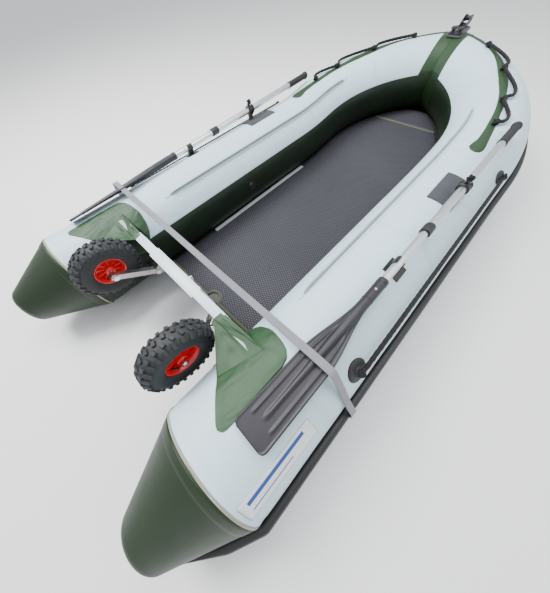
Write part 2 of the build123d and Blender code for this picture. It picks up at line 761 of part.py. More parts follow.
clamp_radius = SHAFT_RADIUS + CLAMP_WALL
oarlock_at = (OARLOCK_X - OAR_TIP[0]) / oar_axis.X
oarlock_centre = oar_tip + oar_axis * oarlock_at
socket_radius = 15.0
pin_fit = 6.0
lock_angle = degrees(atan2(sqrt(TUBE_RADIUS**2 - (oarlock_centre.Y - tube_y) ** 2),
                           oarlock_centre.Y - tube_y))
pad_angles = (lock_angle - 4.0, lock_angle + 26.0)
pad_run = (OARLOCK_X - 80.0, OARLOCK_X + 130.0)


def pad_wall(plane):
    return band_section(plane, pad_angles, GLUE, GLUE + 4.0)


skin_there = tube_z + TUBE_RADIUS * sin(radians(lock_angle))
socket_top = oarlock_centre.Z - clamp_radius - 3.0
with BuildPart() as oarlock_pad:
    add(follow_tube(pad_wall, *pad_run))
    with BuildSketch(Plane(origin=(oarlock_centre.X, oarlock_centre.Y, socket_top))):
        Circle(socket_radius)
    extrude(amount=-(socket_top - skin_there + 12))
    with BuildSketch(Plane.YZ.offset(oarlock_centre.X - 40)):
        with Locations((tube_y, tube_z)):
            Circle(TUBE_RADIUS + GLUE)
    extrude(amount=80, mode=Mode.SUBTRACT)
    with BuildSketch(Plane(origin=(oarlock_centre.X, oarlock_centre.Y, socket_top))):
        Circle(pin_fit + RUN_FIT)
    extrude(amount=-(socket_top - skin_there - 6), mode=Mode.SUBTRACT)
paired_pieces["oarlock_pads"] = oarlock_pad.part

with BuildPart() as oarlock_clamp:
    with BuildSketch(oar_section(oarlock_at - OARLOCK_LENGTH / 2)):
        Circle(clamp_radius)
        with Locations((0, clamp_radius + 4)):
            Rectangle(14, 16)
        Circle(SHAFT_RADIUS + 0.2, mode=Mode.SUBTRACT)
    extrude(amount=OARLOCK_LENGTH)
    pin_top = Plane(origin=(oarlock_centre.X, oarlock_centre.Y, socket_top + RUN_FIT))
    with BuildSketch(pin_top):
        Circle(13)
    extrude(amount=8)
    with BuildSketch(pin_top):
        Circle(pin_fit)
    extrude(amount=-(socket_top - skin_there - 8))
    with BuildSketch(oar_section(oarlock_at - OARLOCK_LENGTH / 2 - 1)):
        Circle(SHAFT_RADIUS + 0.2)
    extrude(amount=OARLOCK_LENGTH + 2, mode=Mode.SUBTRACT)
port_pieces["oarlock_clamp"] = oarlock_clamp.part

clip_at = (CLIP_X - OAR_TIP[0]) / oar_axis.X
clip_centre = oar_tip + oar_axis * clip_at
clip_grip = INNER_SHAFT_RADIUS + 0.6
clip_wall = 4.0
clip_width = 30.0
with BuildPart() as oar_clip:
    with BuildSketch(Plane.YZ.offset(clip_centre.X - clip_width / 2)):
        with Locations((clip_centre.Y, clip_centre.Z)):
            Circle(clip_grip + clip_wall)
            Circle(clip_grip, mode=Mode.SUBTRACT)
        with Locations((clip_centre.Y + 26, clip_centre.Z + 22)):
            Rectangle(60, 52, mode=Mode.SUBTRACT)
        with Locations((clip_centre.Y, clip_centre.Z - clip_grip - 14)):
            Rectangle(20, 32)
        with Locations((clip_centre.Y, clip_centre.Z)):
            Circle(clip_grip, mode=Mode.SUBTRACT)
        with Locations((tube_y, tube_z)):
            Circle(TUBE_RADIUS + GLUE + 3.5, mode=Mode.SUBTRACT)
    extrude(amount=clip_width)
    clip_angle = degrees(atan2(sqrt(TUBE_RADIUS**2 - (clip_centre.Y - tube_y) ** 2),
                               clip_centre.Y - tube_y))
    clip_run = clip_centre.X + middle_x
    foot_angles = (clip_angle - 9.0, clip_angle + 9.0)
    add(extrude(band_section(tube_frame(clip_run - 34), foot_angles, GLUE, GLUE + 4.0), amount=68,
                mode=Mode.PRIVATE))
paired_pieces["oar_clips"] = oar_clip.part

# ---- launching wheels -------------------------------------------------------------------------------------------
board_x = (TRANSOM_TOP - PIVOT_Z) * tan(rake) - half_board / cos(rake)
pivot = Vector(board_x - PIVOT_STAND - middle_x, LEG_Y, PIVOT_Z)
hub = Vector(WHEEL_X - middle_x, LEG_Y, WHEEL_Z)
leg_run = (hub - pivot).length
leg_axis = (hub - pivot).normalized()
wheel_centre = Vector(hub.X, WHEEL_Y, hub.Z)
cheek_fit = 1.0
cheek_near = LEG_SIZE / 2 + cheek_fit
across = Vector(0, 1, 0)

with BuildPart() as wheel_bracket:
    plate_down = (TRANSOM_TOP - PIVOT_Z) / cos(rake)
    plate = TRANSOM_FRONT.offset(-half_board - GLUE)
    with BuildSketch(plate):
        with Locations((LEG_Y, -plate_down)):
            RectangleRounded(64, 120, 6)
    extrude(amount=-PLATE)
    for side in (1, -1):
        inside = LEG_Y + side * cheek_near
        with BuildSketch(Plane(origin=(pivot.X, inside, PIVOT_Z), x_dir=(1, 0, 0), z_dir=(0, 1, 0))):
            with BuildLine():
                reach = PIVOT_STAND - 1.0
                lean = tan(rake)
                Polyline((reach + 30 * lean, 30), (reach - 50 * lean, -50), (0, -18), (-14, 0),
                         (0, 18), close=True)
            make_face()
            Circle(PIN_RADIUS + 0.2, mode=Mode.SUBTRACT)
        extrude(amount=side * PLATE)
paired_pieces["wheel_brackets"] = wheel_bracket.part

with BuildPart() as wheel_leg:
    with BuildSketch(Plane(origin=pivot - leg_axis * 16, x_dir=(0, 1, 0), z_dir=leg_axis)):
        Rectangle(LEG_SIZE, LEG_SIZE)
        Rectangle(LEG_SIZE - 2 * LEG_WALL, LEG_SIZE - 2 * LEG_WALL, mode=Mode.SUBTRACT)
    extrude(amount=leg_run + 32)
    with BuildSketch(Plane(origin=pivot, z_dir=(0, 1, 0))):
        Circle(PIN_RADIUS + RUN_FIT)
    extrude(amount=LEG_SIZE, both=True, mode=Mode.SUBTRACT)
    with BuildSketch(Plane(origin=hub, z_dir=(0, 1, 0))):
        Circle(AXLE_RADIUS)
    extrude(amount=LEG_SIZE, both=True, mode=Mode.SUBTRACT)
port_pieces["wheel_leg"] = wheel_leg.part

with BuildPart() as pivot_pin:
    pin_reach = cheek_near + PLATE
    with BuildSketch(Plane(origin=pivot, z_dir=(0, 1, 0))):
        Circle(PIN_RADIUS)
    extrude(amount=pin_reach + 1, both=True)
    for side in (1, -1):
        with BuildSketch(Plane(origin=pivot + across * (side * (pin_reach + 0.2)), z_dir=(0, 1, 0))):
            Circle(9)
        extrude(amount=side * 5)
paired_pieces["pivot_pins"] = pivot_pin.part

axle_end = WHEEL_Y + RIM_WIDTH / 2 + 6
with BuildPart() as axle:
    with BuildSketch(Plane(origin=(hub.X, LEG_Y - LEG_SIZE / 2 - 8, hub.Z), z_dir=(0, 1, 0))):
        Circle(AXLE_RADIUS - 0.2)
    extrude(amount=axle_end + 4 - LEG_Y + LEG_SIZE / 2 + 8)
    for start, thick in ((LEG_Y - LEG_SIZE / 2 - 0.3, -8.0), (LEG_Y + LEG_SIZE / 2 + 0.3, 4.0),
                         (axle_end - 4, 7.0)):
        with BuildSketch(Plane(origin=(hub.X, start, hub.Z), z_dir=(0, 1, 0))):
            RegularPolygon(13, 6)
        extrude(amount=thick)
port_pieces["axle"] = axle.part


def wheel_profile(points):
    with BuildSketch(Plane(origin=wheel_centre, x_dir=(0, 1, 0), z_dir=(1, 0, 0))) as profile:
        with BuildLine():
            Polyline(*points, close=True)
        make_face()
    return profile.sketch


with BuildPart() as tyre:
    for radius, width, inner in ((TYRE_RADIUS, TYRE_WIDTH, RIM_RADIUS + GLUE),
                                 (TYRE_RADIUS - TYRE_WALL, TYRE_WIDTH - 2 * TYRE_WALL, RIM_RADIUS)):
        with BuildSketch(Plane(origin=wheel_centre, x_dir=(0, 1, 0), z_dir=(1, 0, 0))) as section:
            half = width / 2
            with BuildLine():
                Polyline((-RIM_WIDTH / 2 + 6, inner), (-half, inner + 22), (-half, radius - 26),
                         (-half + 22, radius), (half - 22, radius), (half, radius - 26),
                         (half, inner + 22), (RIM_WIDTH / 2 - 6, inner), close=True)
            make_face()
            fillet(vertices(), 5.0)
        revolve(axis=Axis(wheel_centre, (0, 1, 0)),
                mode=Mode.ADD if radius == TYRE_RADIUS else Mode.SUBTRACT)
port_pieces["tyre"] = tyre.part

with BuildPart() as rim:
    flange = RIM_WIDTH / 2
    revolve(wheel_profile([(-flange, RIM_RADIUS + 7), (-flange - 2, RIM_RADIUS + 7),
                           (-flange - 2, RIM_RADIUS - 5), (flange + 2, RIM_RADIUS - 5),
                           (flange + 2, RIM_RADIUS + 7), (flange, RIM_RADIUS + 7),
                           (flange - 3, RIM_RADIUS - 1), (-flange + 3, RIM_RADIUS - 1)]),
            axis=Axis(wheel_centre, (0, 1, 0)))
    with BuildSketch(Plane(origin=wheel_centre, z_dir=(0, 1, 0))):
        Circle(RIM_RADIUS - 3)
        with PolarLocations(33, 5):
            Circle(9, mode=Mode.SUBTRACT)
    extrude(amount=2.5, both=True)
    with BuildSketch(Plane(origin=wheel_centre, z_dir=(0, 1, 0))):
        Circle(HUB_RADIUS)
    extrude(amount=RIM_WIDTH / 2 - 4, both=True)
    with BuildSketch(Plane(origin=wheel_centre, z_dir=(0, 1, 0))):
        Circle(AXLE_RADIUS - 0.2 + RUN_FIT)
    extrude(amount=RIM_WIDTH, both=True, mode=Mode.SUBTRACT)
port_pieces["rim"] = rim.part

# ---- tie-down strap ---------------------------------------------------------------------------------------------
strap_plane = Plane(origin=(STRAP_X - STRAP_WIDTH / 2 - middle_x, 0, 0), x_dir=(0, 1, 0),
                    z_dir=(1, 0, 0))
strap_out = TUBE_RADIUS + STRAKE_HEIGHT + 4.0
blade_edge = (oar_tip.Y + BLADE_WIDTH / 2 + 8, OAR_TIP[2] + 18.0)
strap_end = -22.0


def strap_point(angle):
    return (tube_y + strap_out * cos(radians(angle)), tube_z + strap_out * sin(radians(angle)))


with BuildPart() as tie_down_strap:
    with BuildSketch(strap_plane):
        with BuildLine() as strap_route:
            corners = [strap_point(angle) for angle in (strap_end, -6.0, 10.0, 26.0, 42.0)]
            corners += [blade_edge, (tube_y - 10, blade_edge[1] + 1.0)]
            across_boat = [(-x, z) for x, z in reversed(corners)]
            Polyline(*corners, *across_boat)
        trace(line_width=STRAP_THICK)
    extrude(amount=STRAP_WIDTH)
pieces["tie_down_strap"] = tie_down_strap.part


def save(piece, label):
    piece.label = label
    export_step(piece, f"parts/{label}.step")


for label, piece in port_pieces.items():
    save(piece, f"port_{label}")
    with BuildPart() as twin:
        mirror(piece, about=Plane.XZ)
    save(twin.part, f"starboard_{label}")
for label, piece in paired_pieces.items():
    with BuildPart() as pair:
        add(piece)
        mirror(piece, about=Plane.XZ)
    save(pair.part, label)
for label, piece in pieces.items():
    save(piece, label)
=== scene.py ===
"""Inflatable dinghy: the visible skins, ropes, oars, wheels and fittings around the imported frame."""
import bmesh
import bpy
from math import acos, ceil, cos, degrees, exp, pi, radians, sin, sqrt, tan, tau
from mathutils import Matrix, Vector, noise


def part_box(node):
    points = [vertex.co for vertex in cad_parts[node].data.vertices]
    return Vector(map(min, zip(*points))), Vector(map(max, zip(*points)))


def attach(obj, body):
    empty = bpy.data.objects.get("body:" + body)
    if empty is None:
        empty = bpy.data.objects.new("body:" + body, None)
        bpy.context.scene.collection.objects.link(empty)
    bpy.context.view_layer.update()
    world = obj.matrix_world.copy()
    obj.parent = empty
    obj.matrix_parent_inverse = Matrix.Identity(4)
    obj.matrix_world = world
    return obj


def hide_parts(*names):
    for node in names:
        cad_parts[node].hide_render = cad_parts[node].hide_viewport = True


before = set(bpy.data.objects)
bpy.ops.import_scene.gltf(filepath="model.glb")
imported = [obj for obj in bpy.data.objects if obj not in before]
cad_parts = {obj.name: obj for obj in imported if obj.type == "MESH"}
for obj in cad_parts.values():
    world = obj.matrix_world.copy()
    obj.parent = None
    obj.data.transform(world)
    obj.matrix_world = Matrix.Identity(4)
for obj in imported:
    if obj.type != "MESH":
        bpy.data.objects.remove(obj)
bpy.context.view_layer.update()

SIDES = (("port", 1), ("starboard", -1))
X, Y, Z = Vector((1, 0, 0)), Vector((0, 1, 0)), Vector((0, 0, 1))

# ---- the hull's lines, in metres; a run is measured along a tube from the transom's top ----------
TUBE = 0.210
SPACING = 1.100
STERN_RUN = -0.312
CONE_LENGTH = 0.270
CONE_TIP = 0.082
CONE_ROUND = 0.022
SHEER_START = 1.250
SHEER_RADIUS = 1.700
SHEER = radians(8.5)
BOW_START = 1.560
BOW_RADIUS = 0.930
ROPE = 0.018

tube_y = SPACING / 2
transom_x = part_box("port_air_tube")[0][0] - STERN_RUN
stem_turn = acos(1 - tube_y / BOW_RADIUS)
rise_run = SHEER_START + SHEER_RADIUS * SHEER
rise_x = SHEER_START + SHEER_RADIUS * sin(SHEER)
bend_run = rise_run + (BOW_START - rise_x) / cos(SHEER)
stem_run = bend_run + BOW_RADIUS * stem_turn
bend_z = TUBE + SHEER_RADIUS * (1 - cos(SHEER)) + (BOW_START - rise_x) * tan(SHEER)
ahead = Vector((cos(SHEER), 0, sin(SHEER)))
rise = Vector((-sin(SHEER), 0, cos(SHEER)))


def tube_frame(run):
    """Origin, outboard, up and along of the port tube's cross-section."""
    if run <= SHEER_START:
        return Vector((transom_x + run, tube_y, TUBE)), Y, Z, X
    if run <= rise_run:
        slope = (run - SHEER_START) / SHEER_RADIUS
        origin = Vector((transom_x + SHEER_START + SHEER_RADIUS * sin(slope), tube_y,
                         TUBE + SHEER_RADIUS * (1 - cos(slope))))
        return origin, Y, Vector((-sin(slope), 0, cos(slope))), Vector((cos(slope), 0, sin(slope)))
    bend = Vector((transom_x + BOW_START, tube_y, bend_z))
    if run <= bend_run:
        return bend - ahead * (bend_run - run), Y, rise, ahead
    turn = (run - bend_run) / BOW_RADIUS
    origin = bend + ahead * (BOW_RADIUS * sin(turn)) - Y * (BOW_RADIUS * (1 - cos(turn)))
    return origin, ahead * sin(turn) + Y * cos(turn), rise, ahead * cos(turn) - Y * sin(turn)


def tube_radius(run):
    """The tube, the stern cone behind its seam, and the cone's rounded tip."""
    back = STERN_RUN - run
    if back <= 0:
        return TUBE
    slope = (TUBE - CONE_TIP) / CONE_LENGTH
    radius = TUBE - slope * back
    to_end = CONE_LENGTH - back
    if to_end < CONE_ROUND:
        radius -= CONE_ROUND - sqrt(max(0.0, CONE_ROUND ** 2 - (CONE_ROUND - to_end) ** 2))
    return radius


def on_tube(run, angle, height=0.0, side=1):
    """A point on a tube's skin; 0 degrees is outboard, 90 up and 180 inboard."""
    origin, outboard, up, _ = tube_frame(run)
    out = outboard * cos(radians(angle)) + up * sin(radians(angle))
    point = origin + out * (tube_radius(run) + height)
    point.y *= side
    return point


def mitre_run(angle, height=0.0):
    """Where the skin at an angle reaches the boat's middle plane, at the stem."""
    reach = BOW_RADIUS + (TUBE + height) * cos(radians(angle))
    return bend_run + BOW_RADIUS * acos((BOW_RADIUS - tube_y) / reach)


def tube_axes(run, angle, side=1):
    """Along the tube, across it and straight out, at a place on its skin."""
    _, outboard, up, along = tube_frame(run)
    out = outboard * cos(radians(angle)) + up * sin(radians(angle))
    out = Vector((out.x, out.y * side, out.z))
    along = Vector((along.x, along.y * side, along.z))
    return along, out.cross(along), out


def placed(origin, x_axis, z_axis):
    """A matrix that puts a piece made about the world's origin at a place and heading."""
    z_dir = Vector(z_axis).normalized()
    x_dir = (Vector(x_axis) - z_dir * z_dir.dot(Vector(x_axis))).normalized()
    spin = Matrix((x_dir, z_dir.cross(x_dir), z_dir)).transposed().to_4x4()
    return Matrix.Translation(origin) @ spin


def seat(run, angle, height=0.0, side=1):
    """The matrix of a fitting that sits on a tube, X along it and Z out."""
    along, _, out = tube_axes(run, angle, side)
    return placed(on_tube(run, angle, height, side), along, out)


# ---- shader tools ----------------------------------------------------------------------------------


class Wire:
    """A shader socket; an expression on wires and numbers adds Math nodes."""

    def __init__(self, paint, socket):
        self.paint = paint
        self.socket = socket

    def maths(self, operation, *values):
        values = dict(enumerate(values))
        return self.paint.node("ShaderNodeMath", {"operation": operation}, values)

    def __add__(self, other):
        return self.maths("ADD", self, other)

    def __sub__(self, other):
        return self.maths("SUBTRACT", self, other)

    def __rsub__(self, other):
        return self.maths("SUBTRACT", other, self)

    def __mul__(self, other):
        return self.maths("MULTIPLY", self, other)

    __radd__ = __add__
    __rmul__ = __mul__

    def sine(self):
        return self.maths("SINE", self)

    def cosine(self):
        return self.maths("COSINE", self)

    def fraction(self):
        return self.maths("FRACT", self)

    def most(self, other):
        return self.maths("MAXIMUM", self, other)

    def step(self, low, high):
        """0 below low, 1 above high and smooth between them."""
        settings = {"interpolation_type": "SMOOTHSTEP"}
        values = {"Value": self, "From Min": low, "From Max": high}
        return self.paint.node("ShaderNodeMapRange", settings, values)

    def band(self, low, high, soft):
        return self.step(low - soft, low + soft) * (1 - self.step(high - soft, high + soft))


class Paint:
    """A material under construction."""

    def __init__(self, name, colour, roughness, metallic=0.0, constants=None):
        self.material = bpy.data.materials.new(name)
        self.material.use_nodes = True
        self.tree = self.material.node_tree
        self.shader = self.tree.nodes["Principled BSDF"]
        self.height = None
        self.colour = (*colour, 1.0)
        self.shader.inputs["Base Color"].default_value = self.colour
        self.shader.inputs["Roughness"].default_value = roughness
        self.shader.inputs["Metallic"].default_value = metallic
        for socket, value in (constants or {}).items():
            self.shader.inputs[socket].default_value = value
        self.material.diffuse_color = self.colour

    def node(self, kind, settings=None, values=None, output=0):
        made = self.tree.nodes.new(kind)
        for key, value in (settings or {}).items():
            setattr(made, key, value)
        for key, value in (values or {}).items():
            if isinstance(value, Wire):
                self.tree.links.new(value.socket, made.inputs[key])
            else:
                made.inputs[key].default_value = value
        return Wire(self, made.outputs[output])

    def coords(self, kind="Object"):
        return self.node("ShaderNodeTexCoord", output=kind)

    def split(self, vector):
        node = self.tree.nodes.new("ShaderNodeSeparateXYZ")
        self.tree.links.new(vector.socket, node.inputs[0])
        return [Wire(self, out) for out in node.outputs]

    def stretch(self, vector, scale):
        return self.node("ShaderNodeMapping", values={"Vector": vector, "Scale": scale})

    def noise(self, scale, detail=3.0, vector=None, rough=0.5):
        vector = vector or self.coords()
        values = {"Vector": vector, "Scale": scale, "Detail": detail, "Roughness": rough}
        return self.node("ShaderNodeTexNoise", values=values)

    def mix(self, factor, first, second):
        """Blend two colours; each is a wire or three numbers."""
        values = {0: factor}
        for place, colour in ((6, first), (7, second)):
            values[place] = colour if isinstance(colour, Wire) else (*colour, 1.0)
        return self.node("ShaderNodeMix", {"data_type": "RGBA"}, values, 2)

    def feed(self, socket, value):
        self.tree.links.new(value.socket, self.shader.inputs[socket])

    def raise_by(self, height, distance, strength=1.0):
        """Stack a bump on the ones already there."""
        values = {"Height": height, "Distance": distance, "Strength": strength}
        if self.height:
            values["Normal"] = self.height
        self.height = self.node("ShaderNodeBump", values=values)
        self.feed("Normal", self.height)

    def grain(self, amount=0.25, scale=6.0):
        """A broad unevenness of tone that every surface has a little of."""
        return 1 + (self.noise(scale, 4.0) - 0.5) * amount

    def tone(self, colour, factor):
        """A colour times a wire of brightness."""
        bright = self.node("ShaderNodeCombineXYZ", values={0: factor, 1: factor, 2: factor})
        return self.node("ShaderNodeVectorMath", {"operation": "MULTIPLY"}, {0: colour, 1: bright})


PVC_GREY = (0.590, 0.755, 0.835)
# The inside green: the fabric's own green made about three times darker, as painted shade of the tube's
# inside.
PVC_GREEN_WITH_SHADE = (0.0060, 0.0140, 0.0050)
GREEN_FROM, GREEN_TO = 155.0, 262.0
PANEL_LENGTH = 0.68


def weave(paint, pitch=0.0011, depth=0.00006):
    """The cloth that shows through a coating."""
    x, y, z = paint.split(paint.coords())
    turns = tau / pitch
    threads = ((x + z * 0.3) * turns).sine() * ((y + z) * turns).sine()
    paint.raise_by(threads, depth)


def coated_fabric(name, colour, scuffs=0.5):
    paint = Paint(name, colour, 0.42, constants={"Specular IOR Level": 0.4})
    soil = paint.noise(2.3, 6.0, rough=0.6).step(0.45, 0.75)
    shade = paint.tone(colour, paint.grain(0.16, 5.0) - soil * 0.10)
    paint.feed("Base Color", shade)
    paint.feed("Roughness", 0.36 + paint.noise(14.0, 4.0) * 0.16 + soil * 0.1)
    paint.raise_by(paint.noise(9.0, 2.0), 0.0022, scuffs)
    weave(paint)
    return paint.material


def tube_fabric():
    """Grey above and outside, green inside; the join and the panel laps are fabric edges. The inside green
    is the fabric's own green darkened about threefold: painted shade of the tube's inside.
    """
    paint = Paint("tube_fabric", PVC_GREY, 0.40, constants={"Specular IOR Level": 0.42})
    run, turn, _ = paint.split(paint.coords("UV"))
    green = turn.band(GREEN_FROM / 360, GREEN_TO / 360, 0.0012)
    lap = (run * (1 / PANEL_LENGTH)).fraction().band(0.018, 0.052, 0.002)
    join = turn.band((GREEN_FROM - 4) / 360, GREEN_FROM / 360, 0.0008)
    soil = paint.noise(1.9, 7.0, rough=0.62).step(0.48, 0.8)
    grey = paint.tone(PVC_GREY, paint.grain(0.10, 3.0) - soil * 0.07 - lap * 0.035)
    # dark is the inside green, partly its own colour and partly painted shade
    dark = paint.tone(PVC_GREEN_WITH_SHADE, paint.grain(0.3, 4.0) + lap * 0.08)
    paint.feed("Base Color", paint.mix(green, grey, dark))
    paint.feed("Roughness", 0.34 + paint.noise(11.0, 4.0) * 0.16 + soil * 0.12)
    ripple = paint.noise(1.0, 2.0, paint.stretch(paint.coords("UV"), (6.0, 9.0, 1.0)))
    paint.raise_by(ripple, 0.010, 0.5)
    paint.raise_by(lap + join + green * 0.5, 0.0012)
    paint.raise_by(paint.noise(60.0, 3.0), 0.0005, 0.5)
    weave(paint)
    return paint.material


def moulded(name, colour, roughness=0.45, speckle=0.0004, metallic=0.0):
    """Moulded plastic or rubber with a fine grain."""
    paint = Paint(name, colour, roughness, metallic)
    paint.feed("Base Color", paint.tone(colour, paint.grain(0.35, 16.0)))
    rough = roughness - 0.08 + paint.noise(40.0, 4.0) * 0.2
    paint.feed("Roughness", rough)
    paint.raise_by(paint.noise(700.0, 2.0), speckle)
    return paint.material


def metal(name, colour, roughness, along=(1.0, 60.0, 60.0)):
    """Drawn or brushed metal; the scratches run along one axis."""
    paint = Paint(name, colour, roughness, 1.0)
    lines = paint.noise(14.0, 5.0, paint.stretch(paint.coords(), along))
    stain = paint.noise(22.0, 5.0).step(0.5, 0.75)
    paint.feed("Base Color", paint.tone(colour, 0.88 + lines * 0.22 - stain * 0.10))
    paint.feed("Roughness", roughness - 0.06 + lines * 0.16 + stain * 0.12)
    paint.raise_by(lines, 0.00012)
    return paint.material


def webbing(name, colour, pitch=0.0022):
    """Flat woven strap: fine ribs across it and a twill along it, from its own UV in metres."""
    paint = Paint(name, colour, 0.75, constants={"Sheen Weight": 0.3, "Sheen Roughness": 0.5})
    along, over, _ = paint.split(paint.coords("UV"))
    ribs = (along * (tau / pitch)).sine()
    twill = ((along + over * 1.6) * (tau / (pitch * 4))).sine()
    weft = (over * (tau / (pitch * 1.2))).sine()
    shade = 1 + ribs * 0.10 + twill * 0.10 + paint.noise(30.0, 4.0) * 0.2 - 0.1
    paint.feed("Base Color", paint.tone(colour, shade))
    paint.raise_by(ribs * 0.5 + twill * 0.4 + weft * 0.3, 0.0005)
    return paint.material


def braid_yarn(name, colour):
    """Braided rope: the plaits are in the mesh, the filaments are here."""
    paint = Paint(name, colour, 0.7, constants={"Sheen Weight": 0.05, "Specular IOR Level": 0.25})
    along, round_, _ = paint.split(paint.coords("UV"))
    fibre = (along * 2600.0 + round_ * 90.0).sine()
    paint.feed("Base Color", paint.tone(colour, 1 + fibre * 0.35 + paint.noise(90.0) * 0.9 - 0.2))
    paint.raise_by(fibre, 0.0003)
    return paint.material


# ---- mesh tools ------------------------------------------------------------------------------------
def finish(name, bm, material, body="hull", slot=None, replaces=(), smooth=True, out=None):
    """Make a bmesh an object that rides on a body; out turns an open sheet's faces outwards."""
    if out is not None:
        lean = sum(face.normal.dot(out(face.calc_center_median())) for face in bm.faces)
        if lean < 0:
            bmesh.ops.reverse_faces(bm, faces=bm.faces)
    mesh = bpy.data.meshes.new(name)
    bm.to_mesh(mesh)
    bm.free()
    mesh.materials.append(material)
    if smooth:
        mesh.shade_smooth()
    piece = bpy.data.objects.new(name, mesh)
    bpy.context.collection.objects.link(piece)
    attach(piece, body)
    if replaces:
        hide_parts(*replaces)
    return piece


def crease(piece, degrees_=35.0):
    """Sharp edges where a hard piece's faces meet at more than an angle."""
    bm = bmesh.new()
    bm.from_mesh(piece.data)
    limit = radians(degrees_)
    for edge in bm.edges:
        edge.smooth = not (len(edge.link_faces) == 2 and edge.calc_face_angle(0.0) > limit)
    bm.to_mesh(piece.data)
    bm.free()
    return piece


def modifier(piece, kind, **settings):
    made = piece.modifiers.new(kind.title(), kind)
    for key, value in settings.items():
        setattr(made, key, value)
    return made


def thicken(piece, thickness):
    modifier(piece, "SOLIDIFY", thickness=thickness, offset=1.0)
    return piece


def grid(columns, rows):
    """A sheet of unit size with its UV, columns by rows faces."""
    bm = bmesh.new()
    bmesh.ops.create_grid(bm, x_segments=columns, y_segments=rows, size=0.5, calc_uvs=True)
    return bm


def mapped(bm, place, uv=None):
    """Move each vertex of a unit sheet to place(s, t), and its UV to uv(s, t)."""
    layer = bm.loops.layers.uv.verify()
    for face in bm.faces:
        for loop in face.loops:
            s, t = loop.vert.co.x + 0.5, loop.vert.co.y + 0.5
            loop[layer].uv = uv(s, t) if uv else (s, t)
    for vert in bm.verts:
        vert.co = place(vert.co.x + 0.5, vert.co.y + 0.5)
    bmesh.ops.recalc_face_normals(bm, faces=bm.faces)
    return bm


def close_up(bm, caps=True):
    """Join a rolled-up sheet at its seam and close its ends."""
    bmesh.ops.remove_doubles(bm, verts=bm.verts, dist=1e-6)
    if caps:
        bmesh.ops.holes_fill(bm, edges=[edge for edge in bm.edges if edge.is_boundary], sides=0)
    bmesh.ops.recalc_face_normals(bm, faces=bm.faces)
    return bm


def tube_out(side):
    """Straight out of the nearest tube, for turning a sheet's faces outwards."""
    def out(point):
        if point.x < transom_x + BOW_START:
            axis = Vector((point.x, side * tube_y, TUBE))
        else:
            across = Vector((transom_x + BOW_START, side * (tube_y - BOW_RADIUS), bend_z))
            flat = point - across
            flat -= rise * flat.dot(rise)
            axis = across + flat.normalized() * BOW_RADIUS
        return (point - axis).normalized()
    return out


def tube_sheet(name, material, runs, angles, columns, rows, height=0.0, side=1, edge=None, **facts):
    """A patch that lies on a tube. angles may be a function of how far along it is; height may
    be a function of run and angle; edge(s, t) is a shift of run."""
    start, stop = runs
    spread = angles if callable(angles) else (lambda s: angles)
    lift = height if callable(height) else (lambda run, angle: height)

    def where(s, t):
        first, last = spread(s)
        run = start + (stop - start) * s
        if edge:
            run += edge(s, t)
        return run, first + (last - first) * t

    def place(s, t):
        run, angle = where(s, t)
        return on_tube(run, angle, lift(run, angle), side)

    def uv(s, t):
        run, angle = where(s, t)
        return run, angle / 360

    bm = mapped(grid(columns, rows), place, uv)
    return finish(name, bm, material, out=tube_out(side), **facts)


def rope_path(points, step=0.004):
    """Points at even steps along the smooth line that control points make."""
    curve = bpy.data.curves.new("route", "CURVE")
    curve.dimensions = "3D"
    curve.resolution_u = 24
    spline = curve.splines.new("NURBS")
    spline.points.add(len(points) - 1)
    for control, point in zip(spline.points, points):
        control.co = (*point, 1.0)
    spline.order_u = 3
    spline.use_endpoint_u = True
    route = bpy.data.objects.new("route", curve)
    mesh = bpy.data.meshes.new_from_object(route)
    line = [vert.co.copy() for vert in mesh.vertices]
    bpy.data.objects.remove(route)
    bpy.data.meshes.remove(mesh)
    return even(line, step)


def even(line, step):
    """The same line with its points an even step apart."""
    total = sum((b - a).length for a, b in zip(line, line[1:]))
    count = max(2, ceil(total / step))
    gap = total / count
    points = [line[0]]
    travelled, wanted = 0.0, gap
    for a, b in zip(line, line[1:]):
        length = (b - a).length
        while length > 0 and travelled + length >= wanted - 1e-9 and len(points) < count:
            points.append(a.lerp(b, (wanted - travelled) / length))
            wanted += gap
        travelled += length
    points.append(line[-1])
    return points


def carried(line, first_up=Z):
    """A frame at each point of a line, turned as little as the line lets it."""
    frames = []
    up = Vector(first_up)
    for place, point in enumerate(line):
        before = line[max(0, place - 1)]
        after = line[min(len(line) - 1, place + 1)]
        along = (after - before).normalized()
        up = (up - along * up.dot(along)).normalized()
        frames.append((point, along, up, along.cross(up)))
    return frames


def sweep(name, material, line, radius, around=12, first_up=Z, **facts):
    """A round bar along a line; radius(distance, angle) or a number. UV is in metres and turns."""
    frames = carried(line, first_up)
    length = sum((b - a).length for a, b in zip(line, line[1:]))
    count = len(line) - 1
    size = radius if callable(radius) else (lambda distance, angle: radius)

    def place(s, t):
        point, _, up, side = frames[round(s * count)]
        angle = tau * (t % 1.0)
        reach = size(s * length, angle)
        return point + (up * cos(angle) + side * sin(angle)) * reach

    bm = mapped(grid(count, around), place, lambda s, t: (s * length, t))
    close_up(bm)
    return finish(name, bm, material, **facts)


def braided(radius, pitch, pairs=5, depth=0.13):
    """The radius of a round braid: two families of strands that pass over and under."""
    def reach(distance, angle):
        left = pairs * angle + tau * distance / pitch
        right = pairs * angle - tau * distance / pitch
        over = sin(left / 2) ** 2 * (0.5 + 0.5 * sin(right))
        under = sin(right / 2) ** 2 * (0.5 - 0.5 * sin(left))
        return radius * (1 - depth + depth * 1.4 * max(over, under))
    return reach


